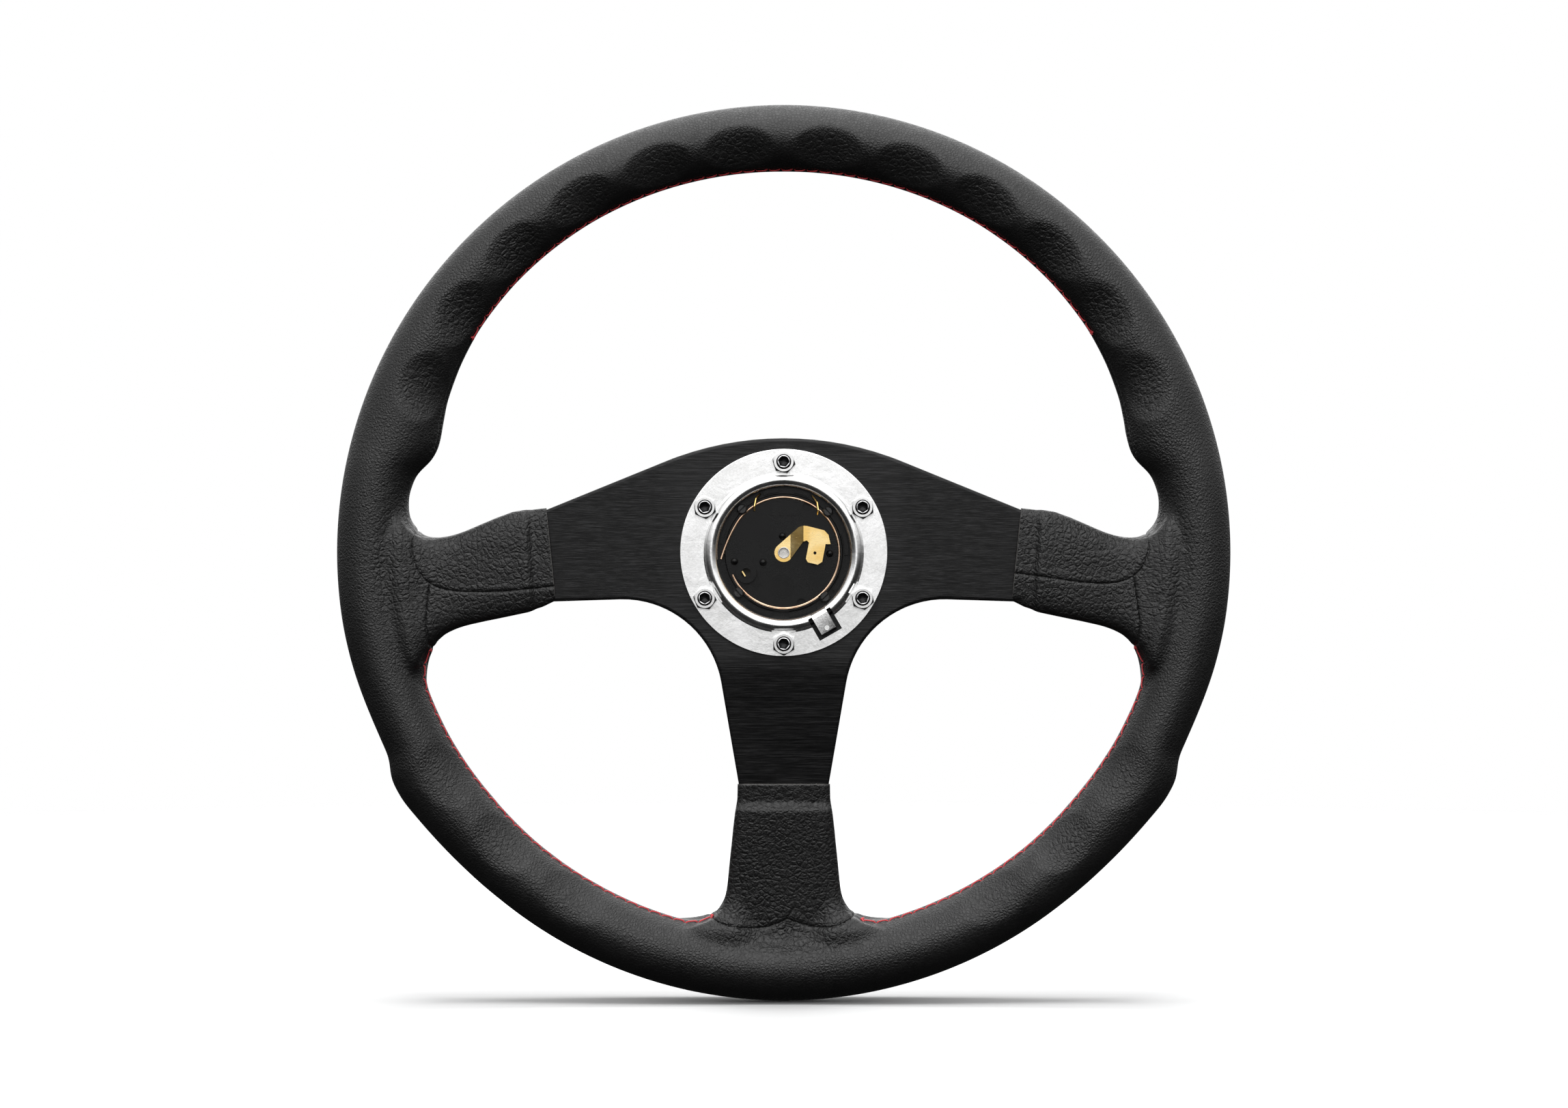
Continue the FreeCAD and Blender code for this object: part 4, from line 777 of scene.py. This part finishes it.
# gentle unevenness of hide pulled over foam: long waves across the rim, more of them where it is stretched
rr, th, phi, _, _ = section(*verts.T)
across = ((phi + 180) % 360) / 360.0 * 88.0
along = th * 162.0
near_spokes = np.exp(-((np.abs(verts[:, 2] + 5) / 34.0) ** 2)) * (np.abs(verts[:, 0]) > 120) * smooth_step((168 - rr) / 14.0)
near_foot = np.exp(-((np.abs(verts[:, 0]) / 40.0) ** 2)) * (verts[:, 2] < -138) * smooth_step((166 - rr) / 14.0)
in_scoop = np.clip(scoops(th, phi) / 1.4, 0, 1) * (rr > 150)
wrapped = 0.85 * smooth_step((146.5 - rr) / 4.0)
lower_inner = smooth_step((160 - rr) / 8.0) * (verts[:, 2] < 0) * 0.35
fold = np.clip(np.maximum.reduce([near_spokes, near_foot * 0.9, in_scoop * 0.85, wrapped, lower_inner]), 0, 1)
wave = np.sin(along / 2.3 + 1.7 * np.sin(along / 9.1) + 1.1 * np.sin(across / 6.3)) * 0.5 + np.sin(along / 3.9 + 2.2 * np.sin(across / 8.0 + along / 31.0)) * 0.5
dip += 0.07 * wave * fold
verts = verts - normals * dip[:, None]


def make_mesh(name, points, faces, materials, smooth=True):
    mesh = bpy.data.meshes.new(name)
    mesh.vertices.add(len(points))
    mesh.vertices.foreach_set("co", (np.asarray(points) * MM).astype(np.float32).ravel())
    n = faces.shape[1]
    mesh.loops.add(faces.size)
    mesh.loops.foreach_set("vertex_index", faces.astype(np.int32).ravel())
    mesh.polygons.add(len(faces))
    mesh.polygons.foreach_set("loop_start", np.arange(0, faces.size, n, dtype=np.int32))
    mesh.polygons.foreach_set("loop_total", np.full(len(faces), n, np.int32))
    mesh.update(calc_edges=True)
    mesh.validate()
    if smooth:
        mesh.polygons.foreach_set("use_smooth", np.ones(len(mesh.polygons), bool))
    for m in materials:
        mesh.materials.append(m)
    o = bpy.data.objects.new(name, mesh)
    bpy.context.scene.collection.objects.link(o)
    return o


def piece_of(name, keep, stretch):
    """One leather panel: its own faces, with the hide's thickness turned in round its edge."""
    f = tris[keep]
    ids = np.unique(f)
    new = np.full(len(verts), -1, np.int64)
    new[ids] = np.arange(len(ids))
    o = make_mesh(name, verts[ids], new[f], [leather, cut_edge])
    at = o.data.attributes.new("grain", "FLOAT_VECTOR", "POINT")
    values = np.stack([162 * np.cos(th[ids]), 162 * np.sin(th[ids]), across[ids]], 1) if stretch is None else stretch(verts[ids])
    at.data.foreach_set("vector", (values * MM).astype(np.float32).ravel())
    at = o.data.attributes.new("fold", "FLOAT", "POINT")
    at.data.foreach_set("value", fold[ids].astype(np.float32))
    hide = o.modifiers.new("hide", "SOLIDIFY")
    hide.thickness, hide.offset = 1.1 * MM, -1.0
    hide.use_even_offset = False
    hide.material_offset_rim = 1
    return o


def spoke_grain(p):
    """On a side spoke the hide is stretched along the spoke, so its creases run up and down."""
    return np.stack([p[:, 0], 0 * p[:, 0], (p[:, 2] + p[:, 1] * 0.5) * 1.4], 1)


def foot_grain(p):
    return np.stack([p[:, 2] * 0.8, 0 * p[:, 0], (p[:, 0] + p[:, 1] * 0.5) * 1.6], 1)


mid = verts[tris].mean(1)
owner = np.full(len(tris), -1)
names = list(REGIONS)
for k, name in enumerate(names):
    inside = (polygon_distance(mid[:, 0], mid[:, 2], REGIONS[name]) < 0) & (owner < 0)
    owner[inside] = k
cover = piece_of("leather_rim_cover_hide", owner < 0, None)
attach(cover, "wheel")
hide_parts("leather_rim_cover")
for k, name in enumerate(names):
    o = piece_of(name + "_hide", owner == k, foot_grain if name == "leather_bottom_sleeve" else spoke_grain)
    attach(o, "wheel")
    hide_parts(name)


# ------------------------------------------------------------------ foam under the leather
def core(x, y, z):
    return np.maximum(grip(x, y, z) + 1.35, np.where(z < -78, 101.0 + z, np.where(np.abs(z) < 60, 100.5 - np.abs(x), -1e3)))


fv, fq = surface_net(core, (-178, 11, -178), (178, 46, 178), 2.6)
fu = np.unique(fq)
fr = np.full(len(fv), -1, np.int64)
fr[fu] = np.arange(len(fu))
foam_piece = make_mesh("foam_grip_body", fv[fu], fr[fq], [foam])
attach(foam_piece, "wheel")
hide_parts("foam_grip")


# ------------------------------------------------------------------ stitching
def inner_radius(th, y):
    """Where the leather's inner side is, at an angle along the rim and a height along Y."""
    lo, hi = np.full(th.shape, 138.0), np.full(th.shape, 158.0)
    for _ in range(26):
        m = (lo + hi) / 2
        out = grip(m * np.cos(th), y, m * np.sin(th)) > 0
        lo, hi = np.where(out, m, lo), np.where(out, hi, m)
    return (lo + hi) / 2


def stitches(name, start, stop, node):
    """Twisted two-ply stitches, each sunk into the leather at its ends, with a bar across at each end of the row."""
    a0, a1 = math.radians(start), math.radians(stop)
    radius = 149.2
    n = max(3, round((a1 - a0) * radius / 4.9))
    pitch = (a1 - a0) / n
    rings, sides = (13, 6)
    points, faces = [], []
    rng = np.random.default_rng(7)

    def strand_pair(path, thick=0.25, turns=3.2, phase=0.0):
        """Two strands twisted round a path of points."""
        path = np.asarray(path)
        tan = np.gradient(path, axis=0)
        tan /= np.linalg.norm(tan, axis=1)[:, None]
        out = -np.stack([path[:, 0], np.zeros(len(path)), path[:, 2]], 1)
        out /= np.linalg.norm(out, axis=1)[:, None]
        side = np.cross(tan, out)
        side /= np.linalg.norm(side, axis=1)[:, None]
        up = np.cross(side, tan)
        t = np.linspace(0, 1, len(path))
        for s in (0, math.pi):
            w = 2 * math.pi * turns * t + s + phase
            c = path + (np.cos(w)[:, None] * side + np.sin(w)[:, None] * up) * thick * 0.78
            grow = np.gradient(c, axis=0)
            grow /= np.linalg.norm(grow, axis=1)[:, None]
            e1 = np.cross(grow, up)
            e1 /= np.linalg.norm(e1, axis=1)[:, None]
            e2 = np.cross(e1, grow)
            base = sum(len(p) for p in points)
            q = np.linspace(0, 2 * math.pi, sides, endpoint=False)
            ring = c[:, None, :] + (np.cos(q)[None, :, None] * e1[:, None, :] + np.sin(q)[None, :, None] * e2[:, None, :]) * thick
            points.append(ring.reshape(-1, 3))
            i, j = np.meshgrid(np.arange(len(path) - 1), np.arange(sides), indexing="ij")
            i, j = i.ravel(), j.ravel()
            k = (j + 1) % sides
            faces.append(np.stack([base + i * sides + j, base + i * sides + k, base + (i + 1) * sides + k, base + (i + 1) * sides + j], 1))
            for end, turn in ((0, 1), (len(path) - 1, -1)):
                r0 = base + end * sides
                faces.append(np.array([[r0, r0 + 1, r0 + 2, r0 + 3], [r0, r0 + 3, r0 + 4, r0 + 5]])[:, ::-turn])

    t = np.linspace(0, 1, rings)
    for k in range(n):
        lean = 0.40 + 0.12 * rng.standard_normal()
        th = a0 + pitch * (k + 0.5 + (t - 0.5) * 0.93)
        y = 25.4 + (t - 0.5) * 2 * lean + 0.05 * rng.standard_normal()
        r = inner_radius(th, y)
        lift = 0.38 * (1 - (2 * t - 1) ** 2) ** 0.5 - 0.62 * np.abs(2 * t - 1) ** 6 + 0.03 * rng.standard_normal()
        r = r - lift
        strand_pair(np.stack([r * np.cos(th), y, r * np.sin(th)], 1), 0.20, 2.9, rng.uniform(0, 6))
    for ang in (a0, a1):
        y = 25.4 + (t - 0.5) * 2.8
        th = np.full(rings, ang)
        r = inner_radius(th, y) - 0.3 * (1 - (2 * t - 1) ** 2) ** 0.5 + 0.7 * np.abs(2 * t - 1) ** 6
        strand_pair(np.stack([r * np.cos(th), y, r * np.sin(th)], 1), 0.27, 1.8)
        knot = np.linspace(0, 1, 9)
        r2 = inner_radius(np.full(9, ang), 25.4 + (knot - 0.5) * 0.9) - 0.42
        spin = ang + (knot - 0.5) * 1.3 / radius
        strand_pair(np.stack([r2 * np.cos(spin), 25.4 + (knot - 0.5) * 0.9, r2 * np.sin(spin)], 1), 0.26, 1.0)
    o = make_mesh(name, np.concatenate(points), np.concatenate(faces), [thread_look])
    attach(o, "wheel")
    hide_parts(node)
    return o


stitches("stitching_top_thread", 35.5, 145.4, "stitching_top")
stitches("stitching_lower_left_thread", 195.4, 258.8, "stitching_lower_left")
stitches("stitching_lower_right_thread", 282.1, 344.9, "stitching_lower_right")


# ------------------------------------------------------------------ hub screws
def hub_screws():
    """Six countersunk screws: a socket in the head, and a threaded end with a six-sided recess and a worn edge."""
    steps = 48
    q = np.linspace(0, 2 * math.pi, steps, endpoint=False)

    def six(flats):
        return flats / 2 / np.cos((q + math.pi / 6) % (math.pi / 3) - math.pi / 6)

    rings = [(six(3.66), -0.35, 0), (six(3.66), -1.42, 0), (six(3.74), -1.58, 0), (q * 0 + 2.26, -1.60, 1), (q * 0 + 2.42, -1.50, 1),
             (q * 0 + 2.47, -1.36, 0), (q * 0 + 2.18, -1.10, 0), (q * 0 + 2.18, -1.00, 0), (q * 0 + 2.48, -0.74, 0), (q * 0 + 2.48, -0.64, 0),
             (q * 0 + 2.18, -0.36, 0), (q * 0 + 2.18, -0.26, 0), (q * 0 + 2.40, -0.02, 0), (q * 0 + 2.40, 6.6, 0), (q * 0 + 4.92, 9.10, 0),
             (q * 0 + 4.98, 9.16, 0), (q * 0 + 4.90, 9.20, 0), (six(3.14), 9.20, 0), (six(3.0), 9.12, 0), (six(3.0), 6.80, 0)]
    pts, faces, slot = [], [], []
    for k in range(6):
        cx, cz = 35.0 * math.cos(math.pi / 6 + k * math.pi / 3), 35.0 * math.sin(math.pi / 6 + k * math.pi / 3)
        turn = 0.35 * k
        base = sum(len(v) for v in pts)
        body = np.concatenate([np.stack([cx + r * np.cos(q + turn), q * 0 + y, cz + r * np.sin(q + turn)], 1) for r, y, _ in rings])
        pts.append(np.concatenate([body, [(cx, -0.25, cz), (cx, 6.7, cz)]]))
        i = np.arange(steps)
        j = (i + 1) % steps
        for n in range(len(rings) - 1):
            lo, hi = base + n * steps, base + (n + 1) * steps
            faces += [np.stack([lo + i, lo + j, hi + j], 1), np.stack([lo + i, hi + j, hi + i], 1)]
            slot += [rings[n + 1][2]] * (2 * steps)
        last = base + (len(rings) - 1) * steps
        faces += [np.stack([base + j, base + i, i * 0 + base + len(body)], 1), np.stack([last + i, last + j, i * 0 + base + len(body) + 1], 1)]
        slot += [0] * (2 * steps)
    o = make_mesh("hub_screws_turned", np.concatenate(pts), np.concatenate(faces)[:, ::-1], [black_screw, worn_edge], smooth=False)
    o.data.polygons.foreach_set("material_index", np.array(slot, np.int32))
    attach(o, "wheel")
    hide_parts("hub_screws")
    return o


hub_screws()


# ------------------------------------------------------------------ return springs
def return_springs():
    """The springs shorten as the button is pressed; a plain copy of the CAD springs stands for the CAD node."""
    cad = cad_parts["return_springs"]
    bpy.context.view_layer.update()
    me = cad.data.copy()
    me.transform(cad.matrix_world)
    o = bpy.data.objects.new("return_springs_wound", me)
    bpy.context.scene.collection.objects.link(o)
    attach(o, "wheel")
    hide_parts("return_springs")
    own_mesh(o)
    return o


return_springs()

# ------------------------------------------------------------------ dark ring round the horn cap, put in the gap between cap and plate as painted shade
def turned(name, profile, material, steps=160):
    """A closed ring: (radius, Y) points turned about the wheel's axis."""
    n = len(profile)
    a = np.linspace(0, 2 * math.pi, steps, endpoint=False)
    points = np.array([(r * math.cos(q), y, r * math.sin(q)) for q in a for r, y in profile])
    i, j = np.meshgrid(np.arange(steps), np.arange(n), indexing="ij")
    i, j = i.ravel(), j.ravel()
    k, m = (i + 1) % steps, (j + 1) % n
    return make_mesh(name, points, np.stack([i * n + j, i * n + m, k * n + m, k * n + j], 1), [material])


# Painted shade: a dark plastic ring that closes the gap round the horn cap, where only shade shows.
shade_ring = turned("horn_cap_shade_ring", [(29.3, 11.0), (30.7, 10.92), (31.0, 10.98), (31.15, 11.15), (31.1, 11.32), (30.8, 11.45), (30.1, 11.62), (29.6, 11.9), (29.3, 12.1)], cap_plastic)
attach(shade_ring, "horn_button")


# ------------------------------------------------------------------ floor, light
def floor_material():
    """A pale floor that fades out a metre or so from the wheel, so that no horizon shows."""
    t = Tree("pale_floor")
    n = t.noise(scale=3.0, detail=2.0)
    x, y, z = t.split(t.co)
    far = t.math("SQRT", t.math("ADD", t.math("MULTIPLY", x, x), t.math("MULTIPLY", y, y)))
    t.shader(Base_Color=t.mix(n, (0.29, 0.29, 0.291), (0.31, 0.31, 0.311)), Roughness=0.8, Specular_IOR_Level=0.1,
             Alpha=t.remap(far, 0.55, 1.25, 1.0, 0.0))
    return t.m


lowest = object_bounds()[0][2]
ring = [(1600 * math.cos(a), 1600 * math.sin(a), 0) for a in np.linspace(0, 2 * math.pi, 73)[:-1]]
floor = make_mesh("floor", np.array([(0, 0, 0)] + ring, float), np.array([[0, k + 1, (k + 1) % 72 + 1] for k in range(72)]), [floor_material()], smooth=False)
floor.location.z = lowest - 0.0002
floor.visible_glossy = False
floor.visible_diffuse = False

# A round lamp overhead that lights only the floor, for the wheel's soft shadow.
lamp = bpy.data.lights.new("floor_lamp", "AREA")
lamp.shape, lamp.size, lamp.energy = "DISK", 1.3, 120.0
lamp_at = bpy.data.objects.new("floor_lamp", lamp)
lamp_at.location = (0, 0, lowest + 2.0)
lamp_at.visible_camera = lamp_at.visible_glossy = False
bpy.context.scene.collection.objects.link(lamp_at)
only_floor = bpy.data.collections.new("lit_by_floor_lamp")
only_floor.objects.link(floor)
lamp_at.light_linking.receiver_collection = only_floor

# A soft white studio: bright above and behind the camera, dim below, with a plain white background.
world = bpy.data.worlds.new("studio")
bpy.context.scene.world = world
world.use_nodes = True
w = Tree.__new__(Tree)
w.t = world.node_tree
w.t.nodes.clear()
w.co = w.t.nodes.new("ShaderNodeTexCoord").outputs["Generated"]
dx, dy, dz = w.split(w.co)


def rise(value, a, b):
    n = w.t.nodes.new("ShaderNodeMapRange")
    n.interpolation_type = "SMOOTHSTEP"
    w.put(n.inputs["Value"], value)
    n.inputs["From Min"].default_value, n.inputs["From Max"].default_value = a, b
    return n.outputs[0]


forward = w.math("MULTIPLY", dy, -1.0)
low_band = w.math("MULTIPLY", rise(dz, -0.08, 0.06), 0.12)
sideways = w.math("MULTIPLY_ADD", rise(w.math("ABSOLUTE", dx), 0.25, 0.88), -0.70, 1.0)
top_band = w.math("MULTIPLY", w.math("MULTIPLY", rise(dz, 0.01, 0.30), sideways), 2.35)
behind = w.math("MULTIPLY_ADD", rise(forward, -0.5, 0.6), 0.25, 0.75)
overhead = w.math("MULTIPLY", rise(dz, 0.90, 0.98), 1.2)
window = w.math("MULTIPLY", w.math("MULTIPLY", rise(forward, 0.94, 0.988), rise(dz, -0.10, 0.0)), 0.93)
glow = w.math("ADD", w.math("MULTIPLY_ADD", w.math("ADD", low_band, top_band), behind, 0.02), window)
far_window = w.math("MULTIPLY", w.math("MULTIPLY", rise(dy, 0.90, 0.985), rise(dz, -0.12, 0.02)), 1.0)
glow = w.math("ADD", w.math("ADD", glow, overhead), far_window)
lit = w.t.nodes.new("ShaderNodeBackground")
w.put(lit.inputs[1], glow)
white = w.t.nodes.new("ShaderNodeBackground")
white.inputs[0].default_value = (1, 1, 1, 1)
lit.inputs[0].default_value = (1, 1, 1, 1)
pick_ray = w.t.nodes.new("ShaderNodeLightPath").outputs["Is Camera Ray"]
both = w.t.nodes.new("ShaderNodeMixShader")
w.put(both.inputs[0], pick_ray)
w.t.links.new(lit.outputs[0], both.inputs[1])
w.t.links.new(white.outputs[0], both.inputs[2])
w.t.links.new(both.outputs[0], w.t.nodes.new("ShaderNodeOutputWorld").inputs[0])
bpy.context.scene.view_settings.view_transform = "Standard"
